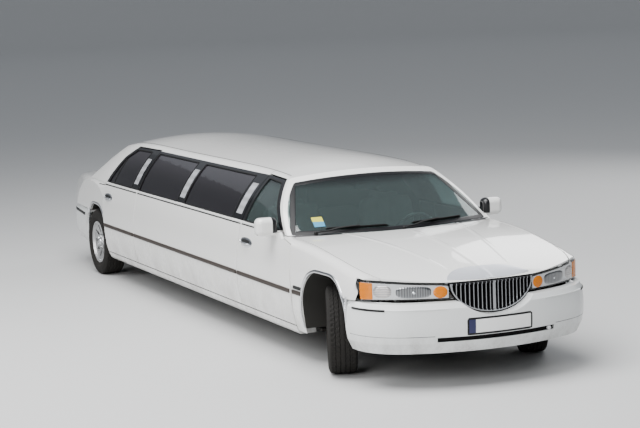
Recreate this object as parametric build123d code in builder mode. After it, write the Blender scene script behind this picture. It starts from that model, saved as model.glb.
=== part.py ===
from build123d import *
import os
from math import asin, cos, hypot, radians, sin, sqrt, tan

# Six-seat saloon lengthened behind the front doors by a stretch section.
# X runs forward, Y to the left, Z up. The origin is on the ground under the middle of the length.

# Overall sizes
CAR_LENGTH = 8502.0
WHEELBASE = 6038.0
FRONT_OVERHANG = 1045.0
FRONT_AXLE_X = CAR_LENGTH / 2 - FRONT_OVERHANG
REAR_AXLE_X = FRONT_AXLE_X - WHEELBASE
TAIL_X = -CAR_LENGTH / 2

# Panel thicknesses and gaps
PANEL_GAP = 10.0
SKIN = 22.0
CABIN_WALL = 42.0
DOOR_FLANGE = 12.0
DOOR_REBATE = 17.0
GLASS = 5.0
GLASS_DEPTH = 8.0
RUNNING_GAP = 0.5
REACH = 1200.0

# Flank, the same from the front doors to the rear wheels
SILL_HALF_WIDTH = 930.0
SILL_Z = 247.0
FLANK_HALF_WIDTH = 988.0
FLANK_Z = 580.0
BELT_HALF_WIDTH = 925.0
BELT_Z = 994.0
DOOR_INNER_Y = 862.0
ROCKER_TOP_Z = 300.0

# Wheels and tyres
TYRE_RADIUS = 338.0
TYRE_WIDTH = 222.0
TYRE_SHOULDER = 12.0
RIM_RADIUS = 214.0
RIM_WIDTH = 190.0
FRONT_TRACK = 1610.0
REAR_TRACK = 1650.0
HUB_RADIUS = 34.0
STEER_REST = 22.0
STEER_LOCK = 35.0

# Wheel arches, centred a little off the axles
ARCH_CLEAR_TOP = 780.0
REAR_ARCH_TOP = 740.0
ARCH_HALF = 402.0
ARCH_BLEND = 310.0
FRONT_ARCH_SHIFT = 10.0
REAR_ARCH_SHIFT = 28.0

# Doors: shut lines as distances behind the front axle, and heights of the openings
FRONT_DOOR_FRONT = 572.0
FRONT_DOOR_REAR = 1753.0
REAR_DOOR_FRONT = 4600.0
REAR_DOOR_REAR = 5640.0
REAR_DOOR_FOOT = 5570.0
DOOR_TOP_Z = 1366.0
DOOR_FRAME = 26.0
WINDOW_BASE_Z = 1012.0
WINDOW_TOP_Z = DOOR_TOP_Z - DOOR_FRAME
CABIN_SIDE_Y = 590.0

# Floor and frame
FLOOR_Z = 250.0
FLOOR_SHEET = 20.0
REAR_FLOOR_Z = 480.0
HEEL_BOARD = 5340.0
TUNNEL_HALF = 120.0
TUNNEL_RISE = 150.0
RAIL_INNER_Y = 380.0
RAIL_WIDTH = 70.0
RAIL_HEIGHT = 80.0
APRON_Y = 500.0
REAR_TUB_Y = 620.0
LINER = 16.0


def ahead(distance):
    """X of a station this far in front of the front axle."""
    return FRONT_AXLE_X + distance


def circle_cross(first, first_radius, second, second_radius, side):
    """Crossing point of two circles, on the given side of the line between their centres."""
    dx = second[0] - first[0]
    dy = second[1] - first[1]
    span = hypot(dx, dy)
    along = (first_radius**2 - second_radius**2 + span**2) / (2 * span)
    height = side * sqrt(first_radius**2 - along**2)
    return (first[0] + (along * dx - height * dy) / span, first[1] + (along * dy + height * dx) / span)


def push_from(centre, through, radius):
    """Point on a circle, in the direction of another point."""
    span = hypot(through[0] - centre[0], through[1] - centre[1])
    ratio = radius / span
    return (centre[0] + (through[0] - centre[0]) * ratio, centre[1] + (through[1] - centre[1]) * ratio)


class Plan:
    """Plan outline of one end: a nose arc, two corner arcs and two long side arcs, all tangent."""

    def __init__(self, tip_x, facing, nose_radius, corner_radius, side_radius, side_start_x, half_width):
        self.facing = facing
        self.nose_centre = (tip_x - facing * nose_radius, 0.0)
        self.nose_radius = nose_radius
        self.corner_radius = corner_radius
        self.side_centre = (side_start_x, half_width - side_radius)
        self.side_radius = side_radius
        self.corner_centre = circle_cross(
            self.nose_centre, nose_radius - corner_radius, self.side_centre,
            side_radius - corner_radius, facing
        )

    def side_y(self, x, inset=0.0):
        """Half width of the side arc at a station."""
        return self.side_centre[1] + sqrt((self.side_radius - inset) ** 2 -
                                          (x - self.side_centre[0]) ** 2)

    def points(self, start_x, inset=0.0):
        """Start, side-to-corner, corner-to-nose and tip points of the left half."""
        start = (start_x, self.side_y(start_x, inset))
        join = push_from(self.side_centre, self.corner_centre, self.side_radius - inset)
        turn = push_from(self.nose_centre, self.corner_centre, self.nose_radius - inset)
        tip = (self.nose_centre[0] + self.facing * (self.nose_radius - inset), 0.0)
        return start, join, turn, tip


def plan_face(plan, start_x, inset):
    """Closed plan outline, from a station round the end and back."""
    start, join, turn, tip = plan.points(start_x, inset)
    lean = asin((join[0] - plan.side_centre[0]) / (plan.side_radius - inset))
    with BuildSketch() as face:
        with BuildLine():
            for side in (-1, 1):
                Line((start[0], side * start[1]), (join[0], side * join[1]))
                TangentArc(
                    (join[0], side * join[1]), (turn[0], side * turn[1]),
                    tangent=(plan.facing * cos(lean), -side * plan.facing * sin(lean)),
                )
            ThreePointArc((turn[0], -turn[1]), tip, turn)
            Line((start[0], -start[1]), start)
        make_face()
    return face.sketch


def plan_block(plan, start_x, levels, ruled=True):
    """Solid through the plan outline at each level, given as inset and height."""
    with BuildPart() as block:
        for inset, height in levels:
            with BuildSketch(Plane.XY.offset(height)):
                add(plan_face(plan, start_x, inset))
        loft(ruled=ruled)
    return block.part


# Plan outlines. The bumpers stand ahead of the lamps and the grille, so each end has two.
BUMPER_PLAN = Plan(ahead(FRONT_OVERHANG), 1, 1600.0, 480.0, 18000.0, ahead(-600.0), FLANK_HALF_WIDTH)
FACE_PLAN = Plan(ahead(938.0), 1, 1300.0, 300.0, 18000.0, ahead(-600.0), FLANK_HALF_WIDTH)
TAIL_TAPER_X = ahead(-5700.0)
REAR_BUMPER_PLAN = Plan(TAIL_X, -1, 2600.0, 430.0, 6800.0, TAIL_TAPER_X, FLANK_HALF_WIDTH)
TAIL_PLAN = Plan(TAIL_X + 62.0, -1, 2600.0, 400.0, 6500.0, TAIL_TAPER_X, FLANK_HALF_WIDTH)

# Front body sections. The side is two arcs that meet upright at the flank, then a roll of the
# stated radius, then one arc across the top with the stated slope at its ends.
# station ahead of axle, sill y, sill z, flank y, flank z, shoulder y, shoulder z, roll radius, top slope
FRONT_SECTIONS = [
    (-900.0, 930.0, SILL_Z, 988.0, FLANK_Z, 948.0, 922.0, 62.0, 3.4),
    (-500.0, 930.0, SILL_Z, 988.0, FLANK_Z, 948.0, 908.0, 66.0, 4.2),
    (0.0, 920.0, SILL_Z, 978.0, FLANK_Z, 938.0, 862.0, 76.0, 5.2),
    (400.0, 902.0, SILL_Z, 960.0, FLANK_Z, 920.0, 806.0, 86.0, 5.4),
    (700.0, 885.0, SILL_Z, 940.0, FLANK_Z, 902.0, 752.0, 90.0, 4.8),
    (1000.0, 860.0, SILL_Z, 915.0, FLANK_Z, 880.0, 675.0, 80.0, 3.8),
]
# Rear body sections, station behind the rear axle and the same columns
REAR_SECTIONS = [
    (650.0, 930.0, SILL_Z, 988.0, FLANK_Z, 944.0, 932.0, 62.0, 2.4),
    (200.0, 926.0, SILL_Z, 986.0, FLANK_Z, 944.0, 934.0, 66.0, 2.6),
    (-250.0, 905.0, SILL_Z, 966.0, FLANK_Z, 925.0, 934.0, 72.0, 3.0),
    (-750.0, 832.0, SILL_Z, 892.0, FLANK_Z, 850.0, 922.0, 82.0, 3.6),
    (-1150.0, 756.0, SILL_Z, 818.0, FLANK_Z, 774.0, 892.0, 92.0, 4.4),
    (-1480.0, 670.0, SILL_Z, 732.0, FLANK_Z, 690.0, 838.0, 90.0, 4.8),
]

# Cabin sections: a side arc from belt to rail, a roll and one arc across the roof.
# station ahead of front axle, belt y, belt z, rail y, rail z, roof z
CABIN_SECTIONS = [
    (-430.0, 862.0, 956.0, 652.0, 1240.0, 1268.0),
    (-900.0, 900.0, 972.0, 650.0, 1322.0, 1352.0),
    (-1230.0, 918.0, 986.0, 645.0, 1358.0, 1398.0),
    (-1750.0, 925.0, BELT_Z, 624.0, 1392.0, 1455.0),
    (-2350.0, 925.0, BELT_Z, 620.0, 1401.0, 1475.0),
    (-4300.0, 925.0, BELT_Z, 620.0, 1401.0, 1475.0),
    (-5150.0, 925.0, BELT_Z, 620.0, 1398.0, 1465.0),
    (-5600.0, 920.0, BELT_Z, 632.0, 1366.0, 1425.0),
    (-6000.0, 905.0, BELT_Z, 650.0, 1290.0, 1335.0),
    (-6500.0, 870.0, BELT_Z, 660.0, 1180.0, 1210.0),
]
SIDE_BULGE = 26.0
RAIL_ROLL = 90.0


def body_section(sill_y, sill_z, flank_y, flank_z, shoulder_y, shoulder_z, roll, slope):
    """Closed body section, local x across and local y up."""
    rise = shoulder_z - flank_z
    drop = flank_y - shoulder_y
    upper_radius = (rise**2 + drop**2) / (2 * drop)
    lean = asin(rise / upper_radius)
    finish = radians(90.0 - slope)
    deck_y = shoulder_y - roll * (cos(lean) - cos(finish))
    deck_z = shoulder_z + roll * (sin(finish) - sin(lean))
    top_z = deck_z + deck_y * tan(radians(slope) / 2)
    middle = (lean + finish) / 2
    roll_y = shoulder_y - roll * (cos(lean) - cos(middle))
    roll_z = shoulder_z + roll * (sin(middle) - sin(lean))
    with BuildSketch() as face:
        with BuildLine():
            Line((-sill_y, sill_z), (sill_y, sill_z))
            TangentArc((flank_y, flank_z), (sill_y, sill_z), tangent=(0, -1))
            TangentArc((flank_y, flank_z), (shoulder_y, shoulder_z), tangent=(0, 1))
            ThreePointArc((shoulder_y, shoulder_z), (roll_y, roll_z), (deck_y, deck_z))
            ThreePointArc((deck_y, deck_z), (0, top_z), (-deck_y, deck_z))
            ThreePointArc((-shoulder_y, shoulder_z), (-roll_y, roll_z), (-deck_y, deck_z))
            TangentArc((-flank_y, flank_z), (-shoulder_y, shoulder_z), tangent=(0, 1))
            TangentArc((-flank_y, flank_z), (-sill_y, sill_z), tangent=(0, -1))
        make_face()
    return face.sketch


def body_block(rows, origin_x, inset, deeper=0.0):
    """Solid through the body sections, moved in by the inset on every side but the bottom."""
    with BuildPart() as block:
        for station, sill_y, sill_z, flank_y, flank_z, shoulder_y, shoulder_z, roll, slope in rows:
            with BuildSketch(Plane.YZ.offset(origin_x + station)):
                add(body_section(
                    sill_y - inset, sill_z - deeper, flank_y - inset, flank_z,
                    shoulder_y - inset, shoulder_z - inset / 4, roll - inset * 3 / 4, slope,
                ))
        loft()
    return block.part


def cabin_block(inset, skirt):
    """Solid through the cabin sections, moved in by the inset, with an upright skirt below the belt."""
    with BuildPart() as block:
        for station, belt_y, belt_z, rail_y, rail_z, roof_z in CABIN_SECTIONS:
            belt = belt_y - inset
            rail = rail_y - inset / 2
            rail_top = rail_z - inset
            middle_y = (belt + rail) / 2 + SIDE_BULGE * (rail_z - belt_z) / 440.0
            middle_z = (belt_z + rail_top) / 2 + SIDE_BULGE * (belt_y - rail_y) / 440.0
            foot = belt_z - skirt
            with BuildSketch(Plane.YZ.offset(ahead(station))) as face:
                with BuildLine():
                    Line((-belt, foot), (belt, foot))
                    Line((belt, foot), (belt, belt_z))
                    Line((-belt, foot), (-belt, belt_z))
                    ThreePointArc((belt, belt_z), (middle_y, middle_z), (rail, rail_top))
                    ThreePointArc((rail, rail_top), (0, roof_z - inset), (-rail, rail_top))
                    ThreePointArc((-belt, belt_z), (-middle_y, middle_z), (-rail, rail_top))
                make_face()
                fillet(face.vertices().group_by(Axis.Y)[-1], RAIL_ROLL - inset)
        loft()
    return block.part


def outline_prism(outline, grow=0.0, near=0.0):
    """Prism from an outline in X and Z on both sides of the car, beyond a distance from its middle."""
    with BuildPart() as prism:
        for side in (-1, 1):
            with BuildSketch(Plane.XZ.offset(-side * near)):
                with BuildLine():
                    Polyline(*outline, close=True)
                make_face()
                if grow:
                    offset(amount=grow, kind=Kind.INTERSECTION)
            extrude(amount=-side * (REACH - near))
    return prism.part


def arch_prism(centre_x, top, grow):
    """Wheel arch outline, grown all round, as a prism right across the car."""
    with BuildPart() as prism:
        with BuildSketch(Plane.XZ) as face:
            with Locations((centre_x, top / 2)):
                Rectangle(2 * (ARCH_HALF + grow), top + 2 * grow)
            fillet(face.vertices().group_by(Axis.Y)[-1], ARCH_BLEND + grow)
        extrude(amount=REACH, both=True)
    return prism.part


def box_between(x_span, y_span, z_span):
    """Box between two stations, two widths and two heights."""
    centre = [(span[0] + span[1]) / 2 for span in (x_span, y_span, z_span)]
    size = [abs(span[1] - span[0]) for span in (x_span, y_span, z_span)]
    return Pos(*centre) * Box(*size, mode=Mode.PRIVATE)


FRONT_ARCH_X = ahead(FRONT_ARCH_SHIFT)
REAR_ARCH_X = REAR_AXLE_X + REAR_ARCH_SHIFT
front_arch = arch_prism(FRONT_ARCH_X, ARCH_CLEAR_TOP, 0.0)
rear_arch = arch_prism(REAR_ARCH_X, REAR_ARCH_TOP, 0.0)

# Windscreen and rear window: ruled surfaces between a lower and an upper arc.
# height, centre station ahead of the front axle, corner station, corner half width
SCREEN_LOW = (950.0, -520.0, -742.0, 818.0)
SCREEN_HIGH = (1352.0, -1212.0, -1318.0, 622.0)
BACK_LOW = (1010.0, -6420.0, -6300.0, 752.0)
BACK_HIGH = (1392.0, -5720.0, -5640.0, 600.0)


def screen_radius(row):
    """Radius of a screen arc from its centre and corner."""
    sag = abs(row[1] - row[2])
    return (row[3] ** 2 + sag**2) / (2 * sag)


def screen_block(low, high, near, far, half_extra, facing):
    """Ruled block between two arcs, from one depth to another in front of the glass surface."""
    with BuildPart() as block:
        for height, centre, corner, half in (low, high):
            radius = screen_radius((height, centre, corner, half))
            wide = half + half_extra
            sag = radius - sqrt(radius**2 - wide**2)
            with BuildSketch(Plane.XY.offset(height)):
                with BuildLine():
                    tip = ahead(centre)
                    edge = tip - facing * sag
                    ThreePointArc((edge + facing * near, -wide), (tip + facing * near, 0),
                                  (edge + facing * near, wide))
                    ThreePointArc((edge + facing * far, -wide), (tip + facing * far, 0),
                                  (edge + facing * far, wide))
                    Line((edge + facing * near, -wide), (edge + facing * far, -wide))
                    Line((edge + facing * near, wide), (edge + facing * far, wide))
                make_face()
        loft(ruled=True)
    return block.part


def extended(low, high, down, up):
    """The same two arcs carried on below and above along the ruled surface."""
    span = high[0] - low[0]
    rows = []
    for step in (-down / span, 1 + up / span):
        rows.append(tuple(a + (b - a) * step for a, b in zip(low, high)))
    return rows


# Door outlines, as X and Z
FRONT_DOOR = [
    (ahead(-FRONT_DOOR_FRONT), ROCKER_TOP_Z),
    (ahead(-FRONT_DOOR_FRONT - 8.0), 600.0),
    (ahead(-FRONT_DOOR_FRONT - 68.0), 925.0),
    (ahead(-850.0), 952.0),
    (ahead(-908.0), 990.0),
    (ahead(-1152.0), 1157.0),
    (ahead(-1385.0), DOOR_TOP_Z - 14.0),
    (ahead(-FRONT_DOOR_REAR), DOOR_TOP_Z),
    (ahead(-FRONT_DOOR_REAR), ROCKER_TOP_Z),
]
FRONT_WINDOW = [
    (ahead(-985.0), WINDOW_BASE_Z),
    (ahead(-1200.0), 1160.0),
    (ahead(-1402.0), WINDOW_TOP_Z - 16.0),
    (ahead(-FRONT_DOOR_REAR + 60.0), WINDOW_TOP_Z),
    (ahead(-FRONT_DOOR_REAR + 60.0), WINDOW_BASE_Z),
]
REAR_DOOR = [
    (ahead(-REAR_DOOR_FRONT), ROCKER_TOP_Z),
    (ahead(-REAR_DOOR_FRONT), DOOR_TOP_Z),
    (ahead(-5270.0), DOOR_TOP_Z - 8.0),
    (ahead(-5455.0), 1250.0),
    (ahead(-REAR_DOOR_REAR), 985.0),
    (ahead(-REAR_DOOR_REAR), 790.0),
    (ahead(-REAR_DOOR_FOOT), 560.0),
    (ahead(-REAR_DOOR_FOOT), ROCKER_TOP_Z),
]
REAR_DOOR_WINDOW = [
    (ahead(-4800.0), WINDOW_BASE_Z),
    (ahead(-4800.0), WINDOW_TOP_Z),
    (ahead(-5235.0), WINDOW_TOP_Z - 6.0),
    (ahead(-5400.0), 1242.0),
    (ahead(-5555.0), WINDOW_BASE_Z),
]
# front and rear station of each window in the stretched side
STRETCH_WINDOWS = [(-1995.0, -3235.0), (-3435.0, -4560.0)]
# station of the middle of each upright lamp strip
POST_LAMPS = [-1875.0, -3335.0]
DOOR_LAMP = -4700.0
POST_LAMP_WIDTH = 120.0
POST_LAMP_BASE_Z = 1050.0
POST_LAMP_TOP_Z = 1292.0
POST_LAMP_PROUD = 4.0

# Masters of the cabin: outer and inner faces, and the cuts along both screens
front_rows = extended(SCREEN_LOW, SCREEN_HIGH, 140.0, 80.0)
back_rows = extended(BACK_LOW, BACK_HIGH, 140.0, 80.0)
screen_cut = screen_block(front_rows[0], front_rows[1], 0.0, 900.0, 220.0, 1)
back_cut = screen_block(back_rows[0], back_rows[1], 0.0, 900.0, 220.0, -1)
cabin_outer = cabin_block(0.0, 60.0)
cabin_inner = cabin_block(CABIN_WALL, 90.0)
cabin_shell = cabin_outer - cabin_inner - screen_cut - back_cut
flange_core = cabin_block(DOOR_FLANGE, 90.0)
glass_outer = cabin_block(GLASS_DEPTH, 60.0)
glass_inner = cabin_block(GLASS_DEPTH + GLASS, 60.0)
screen_room = cabin_block(CABIN_WALL - 14.0, 60.0)


def flank_wall(inset):
    """Lower side walls from the front doors to the rear wheels, with an upright inner face."""
    with BuildPart() as wall:
        for side in (-1, 1):
            flank = (side * (FLANK_HALF_WIDTH - inset), FLANK_Z)
            sill = (side * (SILL_HALF_WIDTH - inset), SILL_Z)
            belt = (side * (BELT_HALF_WIDTH - inset), BELT_Z)
            with BuildSketch(Plane.YZ.offset(ahead(-FRONT_DOOR_FRONT))):
                with BuildLine():
                    TangentArc(flank, sill, tangent=(0, -1))
                    TangentArc(flank, belt, tangent=(0, 1))
                    Line(sill, (side * DOOR_INNER_Y, SILL_Z))
                    Line((side * DOOR_INNER_Y, SILL_Z), (side * DOOR_INNER_Y, BELT_Z))
                    Line((side * DOOR_INNER_Y, BELT_Z), belt)
                make_face()
            extrude(amount=-(REAR_DOOR_REAR + PANEL_GAP - FRONT_DOOR_FRONT))
    return wall.part


side_shell = cabin_shell + flank_wall(0.0)
side_core = flange_core + flank_wall(SKIN)

# Masters of both ends: a skin over the loft, trimmed by the plan outline
front_outer = body_block(FRONT_SECTIONS, FRONT_AXLE_X, 0.0)
front_inner = body_block(FRONT_SECTIONS, FRONT_AXLE_X, SKIN, 100.0)
rear_outer = body_block(REAR_SECTIONS, REAR_AXLE_X, 0.0)
rear_inner = body_block(REAR_SECTIONS, REAR_AXLE_X, SKIN, 100.0)
BODY_SPAN_Z = (100.0, 1100.0)
face_prism = plan_block(FACE_PLAN, ahead(-900.0), [(0.0, height) for height in BODY_SPAN_Z])
face_back = plan_block(FACE_PLAN, ahead(300.0), [(95.0, height) for height in BODY_SPAN_Z])
tail_prism = plan_block(TAIL_PLAN, ahead(-5388.0), [(0.0, height) for height in BODY_SPAN_Z])
tail_inner = plan_block(TAIL_PLAN, ahead(-5388.0), [(SKIN, height) for height in BODY_SPAN_Z])
tail_back = plan_block(TAIL_PLAN, ahead(-6600.0), [(75.0, height) for height in BODY_SPAN_Z])
front_shell = (front_outer - front_inner) & face_prism
rear_shell = (rear_outer & tail_prism) - (rear_inner & tail_inner)

# Doors, each with a thin flange all round an inner part that is smaller by the rebate
door_sets = {}
for door_name, outline, window in (
    ("front", FRONT_DOOR, FRONT_WINDOW),
    ("rear", REAR_DOOR, REAR_DOOR_WINDOW),
):
    rebate = side_core - outline_prism(outline, -DOOR_REBATE, CABIN_SIDE_Y)
    opening = outline_prism(window, 0.0, CABIN_SIDE_Y)
    with BuildPart() as doors:
        add(side_shell)
        add(outline_prism(outline, 0.0, CABIN_SIDE_Y), mode=Mode.INTERSECT)
        add(rebate, mode=Mode.SUBTRACT)
        add(opening, mode=Mode.SUBTRACT)
    with BuildPart() as door_glass:
        add(opening)
        add(glass_outer, mode=Mode.INTERSECT)
        add(glass_inner, mode=Mode.SUBTRACT)
    door_sets[door_name] = (doors.part.solids().sort_by(Axis.Y), door_glass.part.solids().sort_by(Axis.Y))

os.makedirs("parts", exist_ok=True)
SIDES = ((0, -1, "right"), (1, 1, "left"))

# Mirror housings stand on the front doors; a lamp strip stands on each rear door's front frame
MIRROR_CENTRE = (ahead(-985.0), 1012.0, 1040.0)
MIRROR_SIZE = (118.0, 180.0, 146.0)
MIRROR_ROUND = 46.0
MIRROR_STALK = (64.0, 60.0, 46.0)
lamp_outer = cabin_block(-POST_LAMP_PROUD, 60.0)


def lamp_strips(centre, seat):
    """The two lamp strips at a station, standing on the given block."""
    half = POST_LAMP_WIDTH / 2
    span_z = (POST_LAMP_BASE_Z, POST_LAMP_TOP_Z)
    with BuildPart() as strips:
        for side in (-1, 1):
            add(box_between((ahead(centre - half), ahead(centre + half)),
                            (side * CABIN_SIDE_Y, side * REACH), span_z))
        add(lamp_outer, mode=Mode.INTERSECT)
        add(seat, mode=Mode.SUBTRACT)
    return strips.part.solids().sort_by(Axis.Y)


with BuildPart() as mirror_housing:
    Box(*MIRROR_SIZE)
    fillet(mirror_housing.edges(), MIRROR_ROUND)

door_lamps = lamp_strips(DOOR_LAMP, glass_outer)
for index, side, side_name in SIDES:
    with BuildPart() as front_door:
        add(door_sets["front"][0][index])
        with Locations((MIRROR_CENTRE[0], side * MIRROR_CENTRE[1], MIRROR_CENTRE[2])):
            add(mirror_housing.part)
        with Locations((MIRROR_CENTRE[0], side * (BELT_HALF_WIDTH - 6.0), BELT_Z - 12.0)):
            Box(*MIRROR_STALK)
    front_door.part.label = side_name + "_front_door"
    export_step(front_door.part, "parts/" + side_name + "_front_door.step")

    with BuildPart() as rear_door:
        add(door_sets["rear"][0][index])
        add(door_lamps[index])
    rear_door.part.label = side_name + "_rear_door"
    export_step(rear_door.part, "parts/" + side_name + "_rear_door.step")

    for door_name in ("front", "rear"):
        with BuildPart() as pane:
            add(door_sets[door_name][1][index])
        pane.part.label = side_name + "_" + door_name + "_door_glass"
        export_step(pane.part, "parts/" + side_name + "_" + door_name + "_door_glass.step")

# Stretched sides between the doors, with two windows each
STRETCH_X = (ahead(-REAR_DOOR_FRONT + PANEL_GAP), ahead(-FRONT_DOOR_REAR - PANEL_GAP))
stretch_prism = outline_prism(
    [(x, z) for x, z in (
        (STRETCH_X[0], ROCKER_TOP_Z), (STRETCH_X[0], DOOR_TOP_Z),
        (STRETCH_X[1], DOOR_TOP_Z), (STRETCH_X[1], ROCKER_TOP_Z),
    )], 0.0, CABIN_SIDE_Y,
)
stretch_openings = []
for front, rear in STRETCH_WINDOWS:
    stretch_openings.append(outline_prism(
        [(ahead(front), WINDOW_BASE_Z), (ahead(front), WINDOW_TOP_Z),
         (ahead(rear), WINDOW_TOP_Z), (ahead(rear), WINDOW_BASE_Z)], 0.0, CABIN_SIDE_Y,
    ))
with BuildPart() as stretch_panels:
    add(side_shell)
    add(stretch_prism, mode=Mode.INTERSECT)
    for opening in stretch_openings:
        add(opening, mode=Mode.SUBTRACT)
stretch_panels.part.label = "stretch_panels"
export_step(stretch_panels.part, "parts/stretch_panels.step")

with BuildPart() as side_windows:
    for opening in stretch_openings:
        add((opening & glass_outer) - glass_inner)
side_windows.part.label = "side_windows"
export_step(side_windows.part, "parts/side_windows.step")

with BuildPart() as pillar_lamps:
    for centre in POST_LAMPS:
        for strip in lamp_strips(centre, cabin_outer):
            add(strip)
pillar_lamps.part.label = "pillar_lamps"
export_step(pillar_lamps.part, "parts/pillar_lamps.step")

# Windscreen and rear window, each in a pocket of the roof panel
SCREEN_THICKNESS = 6.0
SCREEN_SET_BACK = 3.0
SCREEN_FOOT_Z = 975.0
BACK_FOOT_Z = 1017.0
BAR_DEPTH = 45.0
COWL_BASE_Z = 915.0
COWL_HALF_WIDTH = 850.0
COWL_BAR_HALF_WIDTH = 828.0
COWL_LEDGE_Z = 927.0
COWL_LEDGE_REACH = 110.0


def between_heights(rows, low_z, high_z):
    """The two arcs of a screen surface at two other heights."""
    low, high = rows
    return [
        tuple(a + (b - a) * (height - low[0]) / (high[0] - low[0]) for a, b in zip(low, high))
        for height in (low_z, high_z)
    ]


front_screen = between_heights(front_rows, SCREEN_FOOT_Z, front_rows[1][0])
back_screen = between_heights(back_rows, BACK_FOOT_Z, back_rows[1][0])
front_pocket = screen_block(*front_screen, -SCREEN_SET_BACK - SCREEN_THICKNESS, 40.0, 220.0,
                            1) & screen_room
back_pocket = screen_block(*back_screen, -SCREEN_SET_BACK - SCREEN_THICKNESS, 40.0, 220.0,
                           -1) & screen_room
with BuildPart() as windshield:
    add(front_pocket)
    add(screen_block(*front_screen, -SCREEN_SET_BACK, 60.0, 240.0, 1), mode=Mode.SUBTRACT)
windshield.part.label = "windshield"
export_step(windshield.part, "parts/windshield.step")
with BuildPart() as rear_window:
    add(back_pocket)
    add(screen_block(*back_screen, -SCREEN_SET_BACK, 60.0, 240.0, -1), mode=Mode.SUBTRACT)
rear_window.part.label = "rear_window"
export_step(rear_window.part, "parts/rear_window.step")

# Roof panel with the windscreen pillars, the rear pillars and the bars below both screens
GUSSET_Y = 806.0
front_door_cut = outline_prism(FRONT_DOOR, PANEL_GAP, CABIN_SIDE_Y)
rear_door_cut = outline_prism(REAR_DOOR, PANEL_GAP, CABIN_SIDE_Y)
cowl_bar = screen_block(*between_heights(front_rows, COWL_BASE_Z, SCREEN_FOOT_Z), -BAR_DEPTH, 0.0,
                        220.0, 1)
cowl_ledge = screen_block(*between_heights(front_rows, COWL_BASE_Z, COWL_LEDGE_Z), 0.0,
                          COWL_LEDGE_REACH, 220.0, 1)
foot_block = screen_block(*between_heights(front_rows, COWL_BASE_Z + 15.0, 1030.0), -BAR_DEPTH - 8.0,
                          -2.0, 220.0, 1)
back_bar = screen_block(*between_heights(back_rows, 950.0, BACK_FOOT_Z), -BAR_DEPTH, 0.0, 220.0, -1)
middle_room = box_between((ahead(-1200.0), ahead(0.0)), (-COWL_BAR_HALF_WIDTH, COWL_BAR_HALF_WIDTH),
                          (800.0, 1100.0))
with BuildPart() as horn_room:
    for side in (-1, 1):
        add(box_between(
            (ahead(-1000.0), ahead(0.0)), (side * (COWL_HALF_WIDTH + 12.0), side * REACH), (100.0, 1100.0)
        ))
    add(front_outer, mode=Mode.INTERSECT)
with BuildPart() as gussets:
    for side in (-1, 1):
        add(box_between((ahead(-1000.0), ahead(-600.0)), (side * GUSSET_Y, side * REACH),
                        (900.0, 1100.0)))
    add(foot_block, mode=Mode.INTERSECT)
    add(cabin_outer, mode=Mode.INTERSECT)
    add(front_door_cut, mode=Mode.SUBTRACT)
    add(horn_room.part, mode=Mode.SUBTRACT)
with BuildPart() as roof_panel:
    add(cabin_shell)
    add(horn_room.part, mode=Mode.SUBTRACT)
    add(front_door_cut, mode=Mode.SUBTRACT)
    add(rear_door_cut, mode=Mode.SUBTRACT)
    add(outline_prism(
        [(STRETCH_X[0] - PANEL_GAP, BELT_Z - 100.0), (STRETCH_X[0] - PANEL_GAP, DOOR_TOP_Z),
         (STRETCH_X[1] + PANEL_GAP, DOOR_TOP_Z), (STRETCH_X[1] + PANEL_GAP, BELT_Z - 100.0)], 0.0,
         CABIN_SIDE_Y,
    ), mode=Mode.SUBTRACT)
    add(gussets.part)
    add(cowl_bar & middle_room)
    add(cowl_ledge & middle_room)
    add(back_bar & screen_room)
    add(rear_outer, mode=Mode.SUBTRACT)
    add(front_pocket, mode=Mode.SUBTRACT)
    add(back_pocket, mode=Mode.SUBTRACT)
roof_panel.part.label = "roof_panel"
export_step(roof_panel.part, "parts/roof_panel.step")

# Hood outline in plan, as points of the left half from the rear corner to the front
HOOD_REAR_CENTRE_X = ahead(-470.0)
HOOD_SIDE = [(ahead(-740.0), 858.0), (ahead(60.0), 860.0), (ahead(300.0), 851.0), (ahead(500.0), 831.0),
             (ahead(620.0), 800.0), (ahead(700.0), 766.0)]
HOOD_NOSE_X = ahead(960.0)


def hood_prism(grow, back_x=None):
    """Prism over the hood outline, grown by a gap; given a station, its rear runs straight back to there."""
    with BuildPart() as prism:
        with BuildSketch(Plane.XY.offset(600.0)):
            with BuildLine():
                for side in (-1, 1):
                    Polyline(*[(x, side * y) for x, y in HOOD_SIDE])
                    Line((HOOD_SIDE[-1][0], side * HOOD_SIDE[-1][1]),
                         (HOOD_NOSE_X, side * HOOD_SIDE[-1][1]))
                Line((HOOD_NOSE_X, -HOOD_SIDE[-1][1]), (HOOD_NOSE_X, HOOD_SIDE[-1][1]))
                if back_x is None:
                    ThreePointArc(
                        (HOOD_SIDE[0][0], -HOOD_SIDE[0][1]), (HOOD_REAR_CENTRE_X, 0),
                        (HOOD_SIDE[0][0], HOOD_SIDE[0][1]),
                    )
                else:
                    for side in (-1, 1):
                        Line((HOOD_SIDE[0][0], side * HOOD_SIDE[0][1]), (back_x, side * HOOD_SIDE[0][1]))
                    Line((back_x, -HOOD_SIDE[0][1]), (back_x, HOOD_SIDE[0][1]))
            make_face()
            if grow:
                offset(amount=grow, kind=Kind.INTERSECTION)
        extrude(amount=600.0)
    return prism.part


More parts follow.
